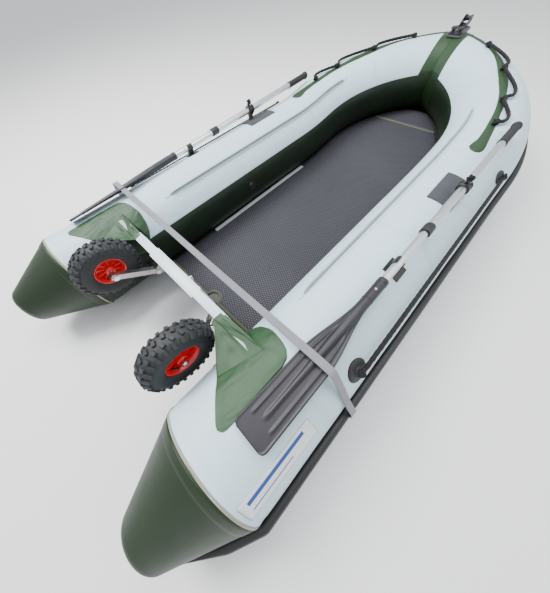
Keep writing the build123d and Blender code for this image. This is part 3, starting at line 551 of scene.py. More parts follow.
def lathe(name, material, profile, matrix, steps=32, **facts):
    """Turn an outline of (radius, height) pairs about Z and put it in place."""
    bm = bmesh.new()
    verts = [bm.verts.new((radius, 0, height)) for radius, height in profile]
    edges = [bm.edges.new(pair) for pair in zip(verts, verts[1:])]
    bmesh.ops.spin(bm, geom=verts + edges, cent=(0, 0, 0), axis=Z, angle=tau, steps=steps,
                   use_merge=True)
    close_up(bm)
    bmesh.ops.transform(bm, matrix=matrix, verts=bm.verts)
    bmesh.ops.recalc_face_normals(bm, faces=bm.faces)
    piece = finish(name, bm, material, **facts)
    return crease(piece)


def block(bm, size, matrix, bevel=0.0, segments=2):
    """Add a rounded block to a bmesh."""
    made = bmesh.ops.create_cube(bm, size=1.0, matrix=matrix @ Matrix.Diagonal((*size, 1.0)))
    if bevel:
        edges = {edge for vert in made["verts"] for edge in vert.link_edges}
        bmesh.ops.bevel(bm, geom=list(edges), offset=bevel, affect="EDGES", segments=segments,
                        profile=0.5, material=-1)


def plate(bm, outline, thickness, matrix, bevel=0.0):
    """Add a flat plate with an outline in its XY plane, its back on Z 0."""
    verts = [bm.verts.new(matrix @ Vector((x, y, 0))) for x, y in outline]
    face = bm.faces.new(verts)
    out = matrix.to_3x3() @ Vector((0, 0, thickness))
    made = bmesh.ops.extrude_face_region(bm, geom=[face])
    top = [item for item in made["geom"] if isinstance(item, bmesh.types.BMVert)]
    bmesh.ops.translate(bm, verts=top, vec=out)
    if bevel:
        rim = [edge for face in made["geom"] if isinstance(face, bmesh.types.BMFace)
               for edge in face.edges]
        bmesh.ops.bevel(bm, geom=list(set(rim)), offset=bevel, affect="EDGES", segments=2,
                        profile=0.5, material=-1)
    bmesh.ops.recalc_face_normals(bm, faces=bm.faces)


def rod(bm, start, stop, radius, sides=16, far_radius=None):
    """Add a round bar or cone between two points."""
    span = Vector(stop) - Vector(start)
    turn = span.to_track_quat("Z", "Y").to_matrix().to_4x4()
    middle = Matrix.Translation((Vector(start) + Vector(stop)) / 2)
    far = radius if far_radius is None else far_radius
    bmesh.ops.create_cone(bm, cap_ends=True, segments=sides, radius1=radius, radius2=far,
                          depth=span.length, matrix=middle @ turn)


def rounded(outline, radius, steps=4):
    """An outline with each corner turned into an arc."""
    points = []
    for place, corner in enumerate(outline):
        corner = Vector(corner)
        back = Vector(outline[place - 1]) - corner
        fore = Vector(outline[(place + 1) % len(outline)]) - corner
        reach = min(radius, back.length * 0.45, fore.length * 0.45)
        first = corner + back.normalized() * reach
        last = corner + fore.normalized() * reach
        for step in range(steps + 1):
            t = step / steps
            points.append(first * (1 - t) ** 2 + corner * 2 * t * (1 - t) + last * t ** 2)
    return [(point.x, point.y) for point in points]


def dress(material, *nodes):
    """Give a carried-over CAD node its finish."""
    for node in nodes:
        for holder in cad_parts[node].material_slots:
            holder.material = material


# ---- camera and light ------------------------------------------------------------------------------
def set_camera():
    position = Vector((transom_x - 0.0731, -0.6609, 1.1211))
    look = Vector((0.327384, 0.415786, -0.848494)).normalized()
    up = Vector((0.642471, 0.560506, 0.522555))
    right = look.cross(up).normalized()
    up = right.cross(look)
    lens = bpy.data.cameras.new("camera")
    lens.sensor_width = 36.0
    lens.lens = 14.06
    lens.shift_x = 0.0144
    lens.shift_y = -0.0243
    lens.clip_start = 0.02
    camera = bpy.data.objects.new("camera", lens)
    bpy.context.collection.objects.link(camera)
    turn = Matrix((right, up, -look)).transposed().to_4x4()
    camera.matrix_world = Matrix.Translation(position) @ turn
    bpy.context.scene.camera = camera


def soft_box(name, place, target, size, power):
    light = bpy.data.lights.new(name, "AREA")
    light.shape = "DISK"
    light.size = size
    light.energy = power
    lamp = bpy.data.objects.new(name, light)
    bpy.context.collection.objects.link(lamp)
    aim = (Vector(target) - Vector(place)).to_track_quat("-Z", "Y").to_matrix().to_4x4()
    lamp.matrix_world = Matrix.Translation(place) @ aim


def set_stage():
    paint = Paint("studio_floor", (0.86, 0.86, 0.86), 0.9)
    paint.feed("Roughness", 0.82 + paint.noise(3.0) * 0.1)
    bm = bmesh.new()
    bmesh.ops.create_grid(bm, x_segments=1, y_segments=1, size=30.0)
    mesh = bpy.data.meshes.new("studio_floor")
    bm.to_mesh(mesh)
    bm.free()
    mesh.materials.append(paint.material)
    floor = bpy.data.objects.new("studio_floor", mesh)
    bpy.context.collection.objects.link(floor)
    world = bpy.data.worlds.new("studio")
    world.use_nodes = True
    world.node_tree.nodes["Background"].inputs["Color"].default_value = (0.94, 0.97, 1.0, 1.0)
    world.node_tree.nodes["Background"].inputs["Strength"].default_value = 0.95
    bpy.context.scene.world = world
    soft_box("key", (-1.6, 2.4, 4.2), (0, 0, 0.2), 2.2, 330)
    soft_box("fill", (1.5, -3.4, 3.4), (0, 0, 0.2), 3.0, 50)
    soft_box("top", (0.6, 0.2, 4.6), (0, 0, 0.2), 2.6, 130)


set_camera()
set_stage()

# ---- finishes -----------------------------------------------------------------------------------
tube_pvc = tube_fabric()
green_pvc = coated_fabric("green_coated_fabric", (0.0068, 0.0200, 0.0040))
green_tape = coated_fabric("green_tape_fabric", (0.020, 0.052, 0.019))
green_patch = coated_fabric("green_patch_fabric", (0.030, 0.078, 0.033), 1.0)
grey_pvc = coated_fabric("grey_coated_fabric", (0.54, 0.67, 0.74))
# The rail flap's grey is darker than the tube's: painted shade along the raised flap.
rail_shaded_pvc = coated_fabric("rail_bead_painted_shade", (0.33, 0.40, 0.44))
lap_tape = coated_fabric("seam_tape", (0.30, 0.29, 0.22))
strake_rubber = moulded("strake_rubber", (0.018, 0.018, 0.020), 0.42, 0.0002)
black_moulding = moulded("black_moulding", (0.014, 0.014, 0.016), 0.36)
soft_rubber = moulded("soft_rubber", (0.020, 0.020, 0.022), 0.6)
pad_rubber = moulded("pad_rubber", (0.048, 0.051, 0.062), 0.6)
black_yarn = braid_yarn("black_yarn", (0.010, 0.010, 0.0115))


def weld_bead(run, angle):
    """The tube's own height: soft puckers where seams and glued fittings pull at it."""
    place = Vector((run * 5.0, angle * 0.045, 0.0))
    quilt = (noise.noise(place) + 0.5 * noise.noise(place * 2.3)) * 0.0010
    seam = 0.0012 * exp(-((angle - GREEN_FROM) / 1.6) ** 2)
    stern = 0.0016 * exp(-((run - STERN_RUN - 0.02) / 0.012) ** 2)
    return quilt - seam - stern


def build_tube(label, side):
    count = 300

    def place(s, t):
        angle = 360 * (t % 1.0)
        run = STERN_RUN + (mitre_run(angle) - STERN_RUN) * s
        swell = weld_bead(run, angle) * min(1.0, (1 - s) * 60)
        return on_tube(run, angle, swell, side)

    def uv(s, t):
        return STERN_RUN + (mitre_run(360 * t) - STERN_RUN) * s, t

    bm = close_up(mapped(grid(count, 120), place, uv))
    finish(f"{label}_tube_skin", bm, tube_pvc, slot="light_pvc", replaces=[f"{label}_air_tube"])


def build_tube_end(label, side):
    """The stern cone with its rounded tip, its seam tape and its lap."""
    def where(s):
        back = s * CONE_LENGTH
        if s > 0.8:
            reach = (s - 0.8) / 0.2
            back = CONE_LENGTH * 0.8 + CONE_LENGTH * 0.2 * sin(reach * pi / 2)
        return STERN_RUN - back

    def place(s, t):
        angle = 360 * (t % 1.0)
        run = where(s)
        swirl = noise.noise(Vector((run * 7, angle * 0.05, side))) * 0.0012
        return on_tube(run, angle, swirl * (1 - s), side)

    bm = close_up(mapped(grid(80, 96), place, lambda s, t: (where(s), t)))
    finish(f"{label}_cone_skin", bm, green_pvc, slot="green_pvc", replaces=[f"{label}_stern_cone"])
    tube_sheet(f"{label}_cone_tape", lap_tape, (STERN_RUN - 0.002, STERN_RUN + 0.006), (0, 360), 2, 96,
               0.0008, side, slot="green_pvc")
    lap = tube_sheet(f"{label}_cone_lap", green_pvc, (STERN_RUN - 0.034, STERN_RUN - 0.003), (0, 360),
                     3, 96, 0.0004, side, slot="green_pvc")
    thicken(lap, 0.0008)


STRAKE_WIDTH, STRAKE_HEIGHT, STRAKE_ANGLE = 0.060, 0.032, -7.0


def double_lobe(angle):
    """A round-topped double ridge seen end on: across and out, at an angle round it."""
    lobe = STRAKE_WIDTH / 4
    x = cos(angle) * STRAKE_WIDTH / 2
    if sin(angle) >= 0:
        out = STRAKE_HEIGHT - lobe + sqrt(max(0.0, lobe ** 2 - (abs(x) - lobe) ** 2))
        return x, out
    return x, -0.002


def build_strake(label, side):
    """The double rubbing strip, just below the tube's widest line and on over the cone."""
    start = STERN_RUN - CONE_LENGTH + 0.05
    stop = mitre_run(STRAKE_ANGLE)

    def place(s, t):
        across, out = double_lobe(tau * (t % 1.0))
        fade = min(1.0, (s * (stop - start) + 0.004) / 0.12)
        angle = STRAKE_ANGLE + degrees(across * (0.6 + 0.4 * fade) / TUBE)
        height = out * fade if out > 0 else out
        run = start + (mitre_run(angle, height) - start) * s
        return on_tube(run, angle, height, side)

    bm = close_up(mapped(grid(260, 40), place, lambda s, t: (start + (stop - start) * s, t)))
    finish(f"{label}_strake", bm, strake_rubber, slot="black_rubber",
           replaces=[f"{label}_rub_strake"])
    for name, first, last in (("upper", 0.9, 6.6), ("lower", -18.2, -14.8)):
        tube_sheet(f"{label}_strake_{name}_tape", strake_rubber, (STERN_RUN, mitre_run(last) - 0.002),
                   (first, last), 220, 4, 0.0009, side, slot="black_rubber")


RAIL_ANGLE = 122.0


def build_seat_rail(label, side):
    """A beaded fabric flap that stands on the tube, glued down by its skirt; the flap's grey is darker than
    the tube's, as painted shade along it.
    """
    start, stop = 0.262, 1.790

    def place(s, t):
        run = start + (stop - start) * s
        end = min(1.0, (s * (stop - start)) / 0.03, ((1 - s) * (stop - start)) / 0.03)
        high = 0.002 + 0.014 * sqrt(max(0.0, min(1.0, end)))
        turn = tau * (t % 1.0)
        across, out = cos(turn) * 0.0022, high / 2 + sin(turn) * high / 2
        if out > high * 0.55:
            across *= 2.0
        return on_tube(run, RAIL_ANGLE + degrees(across / TUBE), out, side)

    def spread(s):
        reach = 5.2 * min(1, 8 * s + 0.25, 8 * (1 - s) + 0.25)
        return RAIL_ANGLE - reach, RAIL_ANGLE + reach

    bm = close_up(mapped(grid(150, 16), place))
    # The flap web in the darker grey: painted shade.
    finish(f"{label}_rail_web", bm, rail_shaded_pvc, slot="light_pvc")
    skirt = tube_sheet(f"{label}_rail_skirt", grey_pvc, (start - 0.03, stop + 0.03), spread, 150, 6,
                       0.0004, side, slot="light_pvc")
    thicken(skirt, 0.0010)


for label, side in SIDES:
    build_tube(label, side)
    build_tube_end(label, side)
    build_strake(label, side)
    build_seat_rail(label, side)
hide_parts("seat_rails")


# ---- gussets, stem band and spray flaps ----------------------------------------------------------
def pucker(seed, size):
    """Creases that run down and across a glued patch."""
    def height(run, angle):
        place = Vector((run * 16 + angle * 0.05, angle * 0.10, seed))
        folds = abs(noise.noise(place)) + 0.5 * abs(noise.noise(place * 2.1))
        return 0.0006 + size * folds
    return height


def between(points, value):
    """Read a smooth outline of (place, height) points."""
    if value <= points[0][0]:
        return points[0][1]
    for (x0, y0), (x1, y1) in zip(points, points[1:]):
        if value <= x1:
            reach = (value - x0) / (x1 - x0)
            return y0 + (y1 - y0) * reach
    return points[-1][1]


GUSSET_LOW = ((-0.212, 93.5), (-0.207, 90.5), (-0.195, 89.2), (-0.165, 89.0), (0.020, 89.0),
              (0.048, 91.0), (0.066, 96.0), (0.078, 104.0), (0.086, 118.0))
GUSSET_HIGH = ((-0.212, 94.5), (-0.208, 97.5), (-0.136, 126.0), (-0.105, 141.0), (-0.060, 163.0),
               (0.0, 168.0), (0.040, 156.0), (0.062, 147.0), (0.078, 136.0), (0.086, 122.0))


def build_gusset(label, side):
    """The patch that ties the transom's corner to the tube, with a long tail and a round lobe."""
    def spread(s):
        run = -0.212 + 0.298 * s
        return between(GUSSET_LOW, run), between(GUSSET_HIGH, run)
    piece = tube_sheet(f"{label}_gusset", green_patch, (-0.212, 0.086), spread, 90, 48,
                       pucker(side * 3.0, 0.0030), side, slot="green_pvc")
    return thicken(piece, 0.0010)


def cloth_web(name, corners, side, sag, facing, seed=0.0):
    """A stretched triangle of cloth; it hangs in a little between its edges and is creased."""
    apex, near, far = [Vector((x + transom_x, y * side, z)) for x, y, z in corners]
    out = (near - apex).cross(far - apex).normalized()
    if out.dot(Vector(facing)) < 0:
        out = -out

    def place(s, t):
        point = apex + ((near - apex) * (1 - t) + (far - apex) * t) * s
        bow = sin(pi * s) * sin(pi * t)
        fold = noise.noise(Vector((s * 3 + seed, t * 5, side * 2.0))) * bow
        return point + out * (fold * 0.0080 - sag * bow)

    bm = close_up(mapped(grid(30, 30), place), caps=False)
    piece = finish(name, bm, green_patch, slot="green_pvc", out=lambda point: out)
    return thicken(piece, 0.0011)


def build_corner_cloth(label, side):
    """The tent of cloth over the board's end: a web behind it, one before it and a cover on top."""
    top = 0.4075
    corner_aft, corner_fore = (-0.0200, 0.276, top - 0.002), (0.0165, 0.280, top + 0.001)
    tube_end = (0.022, 0.478, 0.4085)
    aft_foot = on_tube(-0.136, 126, 0.003)
    fore_foot = on_tube(0.046, 154, 0.003)
    aft_foot = (aft_foot.x - transom_x, aft_foot.y, aft_foot.z)
    fore_foot = (fore_foot.x - transom_x, fore_foot.y, fore_foot.z)
    cloth_web(f"{label}_aft_web", (corner_aft, aft_foot, tube_end), side, 0.006, (-1, 0, 1))
    cloth_web(f"{label}_fore_web", (tube_end, fore_foot, (0.0185, 0.392, top - 0.003)), side, 0.003,
              (1, 0, 1), 4.0)
    cloth_web(f"{label}_top_cover", (tube_end, corner_aft, corner_fore), side, -0.0015, (0, 0, 1), 7.0)


FLAP_LOW = ((1.393, 85.0), (1.402, 81.0), (1.425, 79.0), (1.460, 79.3), (1.500, 81.0), (1.560, 83.6),
            (1.640, 86.6), (1.720, 87.8), (1.900, 86.8), (2.000, 84.0), (2.190, 79.0), (2.400, 72.5),
            (2.700, 71.0))
FLAP_HIGH = ((1.393, 87.0), (1.402, 92.5), (1.425, 96.2), (1.460, 95.4), (1.500, 93.4), (1.560, 94.2),
             (1.640, 95.8), (2.000, 95.8), (2.100, 93.5), (2.190, 89.3), (2.290, 84.0), (2.400, 81.0),
             (2.700, 80.0))


def build_flap(label, side):
    """The folded spray strip along the bow, broad at its aft end."""
    start, stop = 1.393, mitre_run(78) - BOW_RADIUS * radians(4.5) + 0.006

    def spread(s):
        run = start + (stop - start) * s
        return between(FLAP_LOW, run), between(FLAP_HIGH, run)

    def height(run, angle):
        low, high = between(FLAP_LOW, run), between(FLAP_HIGH, run)
        reach = min(1.0, max(0.0, (angle - low) / (high - low)))
        fold = noise.noise(Vector((run * 14, angle * 0.1, side)))
        return 0.0008 + 0.0040 * sin(pi * reach) * (0.7 + 0.3 * fold) + 0.0006 * fold

    piece = tube_sheet(f"{label}_spray_flap", green_tape, (start, stop), spread, 240, 18, height, side,
                       slot="green_pvc")
    thicken(piece, 0.0012)
    return piece


def build_stem_band(label, side):
    """The wide band over the mitre, wider at the inner corner; its foot inside the boat is darker, as
    painted shade.
    """
    def edge(s, t):
        return -0.075 * max(0.0, (t - 0.35) / 0.65) ** 1.5 * (1 - s) - 0.03 * (1 - s) * (1 - t) ** 3

    band = BOW_RADIUS * radians(4.5)
    pieces = []
    for name, material, first, last in (("stem_band", green_tape, 12, 152),
                                        # The foot is the same band in the darker cone green: painted shade
                                        # on the band's lower inside part.
                                        ("stem_band_painted_shade_foot", green_pvc, 152, 215)):
        def place(s, t):
            angle = first + (last - first) * t
            end = mitre_run(angle)
            run = end - band + band * s + edge(s, (angle - 12) / 203)
            ripple = noise.noise(Vector((run * 20, angle * .1, 1)))
            return on_tube(run, angle, 0.0012 + 0.0005 * ripple, side)

        bm = mapped(grid(24, 90), place)
        piece = finish(f"{label}_{name}", bm, material, slot="green_pvc", out=tube_out(side))
        pieces.append(thicken(piece, 0.0008))
    return pieces[0]


for label, side in SIDES:
    gusset, flap = build_gusset(label, side), build_flap(label, side)
    build_corner_cloth(label, side)
    band = build_stem_band(label, side)
    if side == 1:
        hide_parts("gussets")
        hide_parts("spray_flaps")
        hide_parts("stem_band")


# ---- ropes -----------------------------------------------------------------------------------------
LACE_ROUTE = ((1.630, 88.5), (1.645, 80.0), (1.695, 78.5), (1.750, 85.0), (1.800, 90.5), (1.840, 91.0),
              (1.860, 79.5), (1.930, 78.5), (2.030, 84.5), (2.090, 87.0), (2.135, 86.5), (2.155, 76.5),
              (2.235, 75.5), (2.330, 79.0), (2.385, 81.0))
EYELETS = ((1.630, 88.5), (1.820, 91.0), (2.112, 87.0), (2.385, 81.0))
LACE_LIFT = 0.0161
BRAID, PLAIT = ROPE / 2 - 0.0008, 0.050
LINE_ANGLE = 37.0
LINE_FROM, LINE_TO = 0.183, 1.406


def build_bow_rope(label, side):
    points = [on_tube(run, angle, LACE_LIFT, side) for run, angle in LACE_ROUTE]
    line = rope_path(points, 0.0030)
    piece = sweep(f"{label}_bow_rope_braid", black_yarn, line, braided(BRAID, PLAIT), 24,
                  slot="black_rope", replaces=[f"{label}_bow_rope"])
    length = sum((b - a).length for a, b in zip(line, line[1:]))
    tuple(line[0])
    for place, (run, angle) in enumerate(EYELETS, 1):
        spin = Matrix.Rotation(0.7 * place, 4, "Z")
        knot(f"{label}_bow_knot_{place}", seat(run, angle, 0.0150, side) @ spin, 0.0125, 0.0060)


def knot(name, matrix, size, rope, body="hull"):
    """A ball knot: three crossing turns of the rope pulled tight."""
    turns = []
    for step in range(49):
        a = tau * step / 48
        bulge = 2 + cos(3 * a)
        turns.append(matrix @ (Vector((bulge * cos(2 * a), bulge * sin(2 * a), sin(3 * a) * 1.5))
                               * size / 3))
    line = even(turns, 0.0025)
    return sweep(name, black_yarn, line, braided(rope, 0.03), 14, slot="black_rope", body=body)


def build_lifeline(label, side):
    ends = [on_tube(run, LINE_ANGLE, 0.0190, side) for run in (LINE_FROM + 0.028, LINE_TO - 0.028)]
    line = even(ends, 0.0030)
    piece = sweep(f"{label}_lifeline_braid", black_yarn, line, braided(BRAID, PLAIT), 24,
                  slot="black_rope", replaces=[f"{label}_lifeline"])
    for name, run, end in (("aft", LINE_FROM, ends[0]), ("fore", LINE_TO, ends[1])):
        tail = even([on_tube(run, LINE_ANGLE, 0.0175, side), end], 0.0030)
        sweep(f"{label}_{name}_line_tail", black_yarn, tail, braided(BRAID, PLAIT), 24,
              slot="black_rope")
    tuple(line[0])
    (ends[1] - ends[0]).length


def disc_on_tube(name, material, run, angle, length, width, height, side, **facts):
    """A rounded rubber patch that follows the tube, with a bevelled rim."""
    def place(s, t):
        reach, turn = s, tau * (t % 1.0)
        x = cos(turn) * reach * length / 2
        y = sin(turn) * reach * width / 2
        lift = 0.0004 + height * (1 - max(0.0, (reach - 0.8) / 0.2) ** 2)
        return on_tube(run + x, angle + degrees(y / TUBE), lift, side)
    bm = close_up(mapped(grid(14, 40), place))
    return finish(name, bm, material, **facts)


def build_line_holders(label, side):
    pieces = []
    for name, run, length, width in (("aft", LINE_FROM, 0.084, 0.084), ("fore", LINE_TO, 0.094, 0.056)):
        pieces.append(disc_on_tube(f"{label}_{name}_line_patch", soft_rubber, run, LINE_ANGLE,
                                   length, width, 0.0065, side, slot="black_rubber"))
        matrix = seat(run, LINE_ANGLE, 0.005, side)
        lathe(f"{label}_{name}_line_cup", soft_rubber,
              [(0.0, 0.0), (0.019, 0.0), (0.0185, 0.003), (0.015, 0.0065), (0.0135, 0.009),
               (0.0105, 0.009), (0.010, 0.003), (0.0, 0.003)], matrix, 28, slot="black_rubber")
        knot(f"{label}_{name}_line_knot", matrix @ Matrix.Translation((0, 0, 0.0125)), 0.0115, 0.0060)
    return pieces[0]


for label, side in SIDES:
    build_bow_rope(label, side)
    build_lifeline(label, side)
    patch = build_line_holders(label, side)
    if side == 1:
        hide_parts("line_holders")

# ---- transom ---------------------------------------------------------------------------------------
TRANSOM_TOP = 0.405
RAKE = radians(7.0)
BOARD = 0.030
CAP = 0.0025
CAP_HALF = 0.296
MAT_TOP = 0.069
rake_out = Vector((cos(RAKE), 0, sin(RAKE)))
transom_up = Vector((-sin(RAKE), 0, cos(RAKE)))
transom_top = Vector((transom_x, 0, TRANSOM_TOP))


def on_transom(across, down, out=0.0):
    """The matrix of a fitting on the transom, X to port, Y up the board and Z forward."""
    origin = transom_top + Y * across - transom_up * down + rake_out * out
    turn = Matrix((Y, transom_up, rake_out)).transposed().to_4x4()
    return Matrix.Translation(origin) @ turn


white_coat = Paint("white_coated_cap", (0.72, 0.81, 0.89), 0.3)
white_coat.feed("Roughness", 0.24 + white_coat.noise(18.0, 4.0) * 0.2)
white_coat.feed("Base Color", white_coat.tone((0.72, 0.81, 0.89), white_coat.grain(0.08, 9.0)))
white_coat.raise_by(white_coat.noise(260.0, 2.0), 0.0002)
white_coat = white_coat.material
board_paint = Paint("painted_board", (0.40, 0.43, 0.47), 0.5)
board_grain = board_paint.noise(3.0, 6.0, board_paint.stretch(board_paint.coords(), (20.0, 1.5, 20.0)))
board_paint.feed("Base Color", board_paint.tone((0.40, 0.43, 0.47), 0.9 + board_grain * 0.2))
board_paint.feed("Roughness", 0.42 + board_grain * 0.15)
board_paint.raise_by(board_grain, 0.0006)
board_paint = board_paint.material
floor_ply = Paint("stained_ply", (0.035, 0.040, 0.038), 0.5)
ply_grain = floor_ply.noise(2.5, 7.0, floor_ply.stretch(floor_ply.coords(), (2.0, 26.0, 26.0)))
floor_ply.feed("Base Color", floor_ply.mix(ply_grain.step(0.3, 0.7), (0.025, 0.028, 0.026),
                                           (0.048, 0.054, 0.050)))
floor_ply.feed("Roughness", 0.4 + ply_grain * 0.2)
floor_ply = floor_ply.material
aluminium = metal("drawn_aluminium", (0.72, 0.73, 0.74), 0.34)
stainless = metal("brushed_stainless", (0.55, 0.54, 0.52), 0.28, (30.0, 1.5, 30.0))
chrome = metal("polished_chrome", (0.82, 0.82, 0.83), 0.10, (8.0, 8.0, 8.0))


def build_cap():
    """The folded cap over the transom with its thin lip, and the wider motor pads."""
    reach = CAP_HALF
    bm = bmesh.new()
    face = BOARD / 2 + 0.0003 + CAP
    block(bm, (2 * reach, 2 * face, CAP), on_transom(0, -0.0003 - CAP / 2) @ Matrix.Rotation(pi / 2, 4, "X"),
          0.0008)
    for sign in (1, -1):
        block(bm, (2 * reach, 0.0325, CAP), on_transom(0, 0.0140, sign * (face - CAP / 2)), 0.0008)
        block(bm, (2 * reach, 0.003, CAP + 0.0016), on_transom(0, 0.0290, sign * (face - CAP / 2 + 0.0006)),
              0.0007)
    cap = finish("transom_cap_fold", bm, white_coat, slot="white_metal", replaces=["transom_cap"])
    crease(cap)
    bm = bmesh.new()
    for sign in (1, -1):
        out = sign * (face + 0.0003 + 0.0025)
        block(bm, (0.300, 0.150, 0.005), on_transom(0, 0.0725, out), 0.0016, 3)
        for row in range(9):
            block(bm, (0.270, 0.0030, 0.0012), on_transom(0, 0.018 + row * 0.0140, out + sign * 0.0024),
                  0.0005, 1)
        for x in (-0.135, 0.135):
            for down in (0.010, 0.135):
                rod(bm, on_transom(x, down, out).translation,
                    on_transom(x, down, out + sign * 0.0036).translation, 0.0042, 12)
    pads = finish("motor_pad_plates", bm, white_coat, slot="white_plastic", replaces=["motor_pads"],
                  smooth=False)
    crease(pads)


def build_foot_angles():
    """The aluminium angles that hold the board's foot, each with two rivets."""
    foot = (TRANSOM_TOP - MAT_TOP) / cos(RAKE) - 0.012
    bm = bmesh.new()
    for side in (1, -1):
        face = BOARD / 2 + 0.0003
        block(bm, (0.110, 0.060, 0.003), on_transom(side * 0.262, foot - 0.030, face + 0.0015), 0.0008)
        for step in (-0.034, 0.034):
            at = on_transom(side * 0.262 + step, foot - 0.044, face + 0.003)
            bmesh.ops.create_uvsphere(bm, u_segments=16, v_segments=8, radius=0.0058,
                                      matrix=at @ Matrix.Diagonal((1, 1, 0.45, 1)))
    crease(finish("transom_foot_angles", bm, aluminium, slot="bare_aluminium",
                  replaces=["transom_angles"]))


def build_drain():
    down = (TRANSOM_TOP - MAT_TOP) / cos(RAKE) - 0.026
    front = on_transom(0, down, BOARD / 2 + 0.0003)
    body = lathe("drain_flange", black_moulding,
                 [(0.0, 0.001), (0.012, 0.001), (0.013, 0.008), (0.016, 0.009), (0.022, 0.007),
                  (0.024, 0.004), (0.024, 0.0), (0.0, 0.0)], front, 36, slot="black_plastic",
                 replaces=["drain_valve"])
    back = on_transom(0, down, -BOARD / 2 - 0.0003) @ Matrix.Rotation(pi, 4, "X")
    lathe("drain_flap", black_moulding,
          [(0.0, 0.010), (0.011, 0.010), (0.0125, 0.0135), (0.020, 0.0125), (0.024, 0.006),
           (0.024, 0.0), (0.0, 0.0)], back, 36, slot="black_plastic")
    return body


def build_tow_eye():
    """A ring in a strap-eye on the board's inner face."""
    at = on_transom(0.066, 0.175, BOARD / 2 + 0.0003)
    bm = bmesh.new()
    plate(bm, rounded([(-0.025, -0.012), (0.025, -0.012), (0.025, 0.012), (-0.025, 0.012)], 0.006),
          0.003, at, 0.0006)
    for x in (-0.017, 0.017):
        rod(bm, (at @ Vector((x, 0, 0.003))), (at @ Vector((x, 0, 0.0048))), 0.0042, 14)
    piece = finish("tow_eye_plate", bm, chrome, slot="stainless", replaces=["tow_ring"], smooth=False)
    crease(piece)
    arch = [at @ Vector((0.009 * cos(a), 0, 0.003 + 0.011 * sin(a)))
            for a in [pi * step / 16 for step in range(17)]]
    sweep("tow_eye_loop", chrome, arch, 0.0028, 12, first_up=Y, slot="stainless")
    hang = at @ Matrix.Translation((0, -0.0105, 0.0125)) @ Matrix.Rotation(radians(12), 4, "X")
    ring = [hang @ Vector((0.017 * cos(a), 0.017 * sin(a) - 0.004, 0.004))
            for a in [tau * step / 48 + pi / 2 for step in range(49)]]
    sweep("tow_eye_ring", chrome, ring, 0.0030, 12, first_up=X, slot="stainless")


def build_handle(label, side):
    """A moulded grab handle: two feet and a ribbed bar."""
    base = seat(-0.088, 185, 0.0004, side)
    bm = bmesh.new()
    for end in (-1, 1):
        outline = rounded([(end * 0.055 - 0.022, -0.018), (end * 0.055 + 0.022, -0.018),
                           (end * 0.055 + 0.022, 0.018), (end * 0.055 - 0.022, 0.018)], 0.008)
        plate(bm, outline, 0.0034, base, 0.001)
        block(bm, (0.018, 0.020, 0.012), base @ Matrix.Translation((end * 0.050, 0, 0.0085)), 0.003)
    piece = finish(f"{label}_handle_feet", bm, black_moulding, slot="black_plastic")
    crease(piece)
    arch = [base @ Vector((-0.055 + 0.110 * step / 40,
                           0, 0.005 + 0.0145 * min(1.0, 3.2 * sin(pi * step / 40)) ** 0.6))
            for step in range(41)]

    def ribs(distance, angle):
        return 0.0050 + 0.0005 * sin(distance * 900) if 0.03 < distance < 0.09 else 0.0050
    sweep(f"{label}_handle_bar", black_moulding, even(arch, 0.0012), ribs, 14, first_up=Y,
          slot="black_plastic")
    return piece


def build_valve(label, side):
    at = seat(0.721, 178, 0.0004, side)
    piece = lathe(f"{label}_valve_cap", black_moulding,
                  [(0.0, 0.0095), (0.013, 0.0095), (0.0155, 0.010), (0.0195, 0.0088), (0.020, 0.005),
                   (0.0225, 0.0042), (0.026, 0.0034), (0.027, 0.0012), (0.027, 0.0), (0.0, 0.0)], at, 48,
                  slot="black_plastic")
    bm = bmesh.new()
    for step in range(18):
        turn = Matrix.Rotation(tau * step / 18, 4, "Z")
        block(bm, (0.0022, 0.0032, 0.0042), at @ turn @ Matrix.Translation((0.0196, 0, 0.0062)), 0.0006, 1)
    crease(finish(f"{label}_valve_grips", bm, black_moulding, slot="black_plastic"))
    return piece


build_cap()
build_foot_angles()
build_drain()
build_tow_eye()
for label, side in SIDES:
    handle, valve = build_handle(label, side), build_valve(label, side)
    if side == 1:
        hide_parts("stern_handles")
        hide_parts("air_valves")
dress(board_paint, "transom_board")
dress(floor_ply, "floor_panels")

# ---- floor -------------------------------------------------------------------------------------------
MAT_PITCH = 0.0135
MAT_BAY = 0.043


def hex_foam(name, colour, shine):
    """Closed-cell deck foam pressed with small hexagons; the grooves between them are painted dark as
    painted shade.
    """
    paint = Paint(name, colour, 0.62, constants={"Specular IOR Level": 0.45})
    x, y, _ = paint.split(paint.coords())
    turn = tau / (MAT_PITCH * 0.866)
    relief = (y * turn).cosine()
    for tilt in (radians(30), radians(-30)):
        line = (x * cos(tilt) + y * sin(tilt)) * turn
        relief = relief + line.cosine()
    tops = relief.step(-0.9, 0.5)
    # The grooves are painted down to about a third of the tops' brightness: painted shade in the recesses;
    # the noise is random tone.
    shade = 0.38 + tops * 0.9 + paint.noise(3.0, 5.0) * 0.35 - 0.15
    paint.feed("Base Color", paint.tone(colour, shade))
    paint.feed("Roughness", shine + paint.noise(30.0) * 0.15 + (1 - tops) * 0.15)
    paint.raise_by(tops, 0.0022)
    paint.raise_by(paint.noise(900.0), 0.0002)
    return paint.material


foam = hex_foam("deck_foam", (0.052, 0.052, 0.066), 0.5)
binding = webbing("mat_binding", (0.075, 0.085, 0.040), pitch=0.003)
skin_cloth = coated_fabric("bottom_fabric", (0.030, 0.072, 0.020))
dress(skin_cloth, "bottom_skin", "keel_tube")
dress(moulded("anodised_strip", (0.62, 0.65, 0.67), 0.35, 0.0001), "floor_stringers")


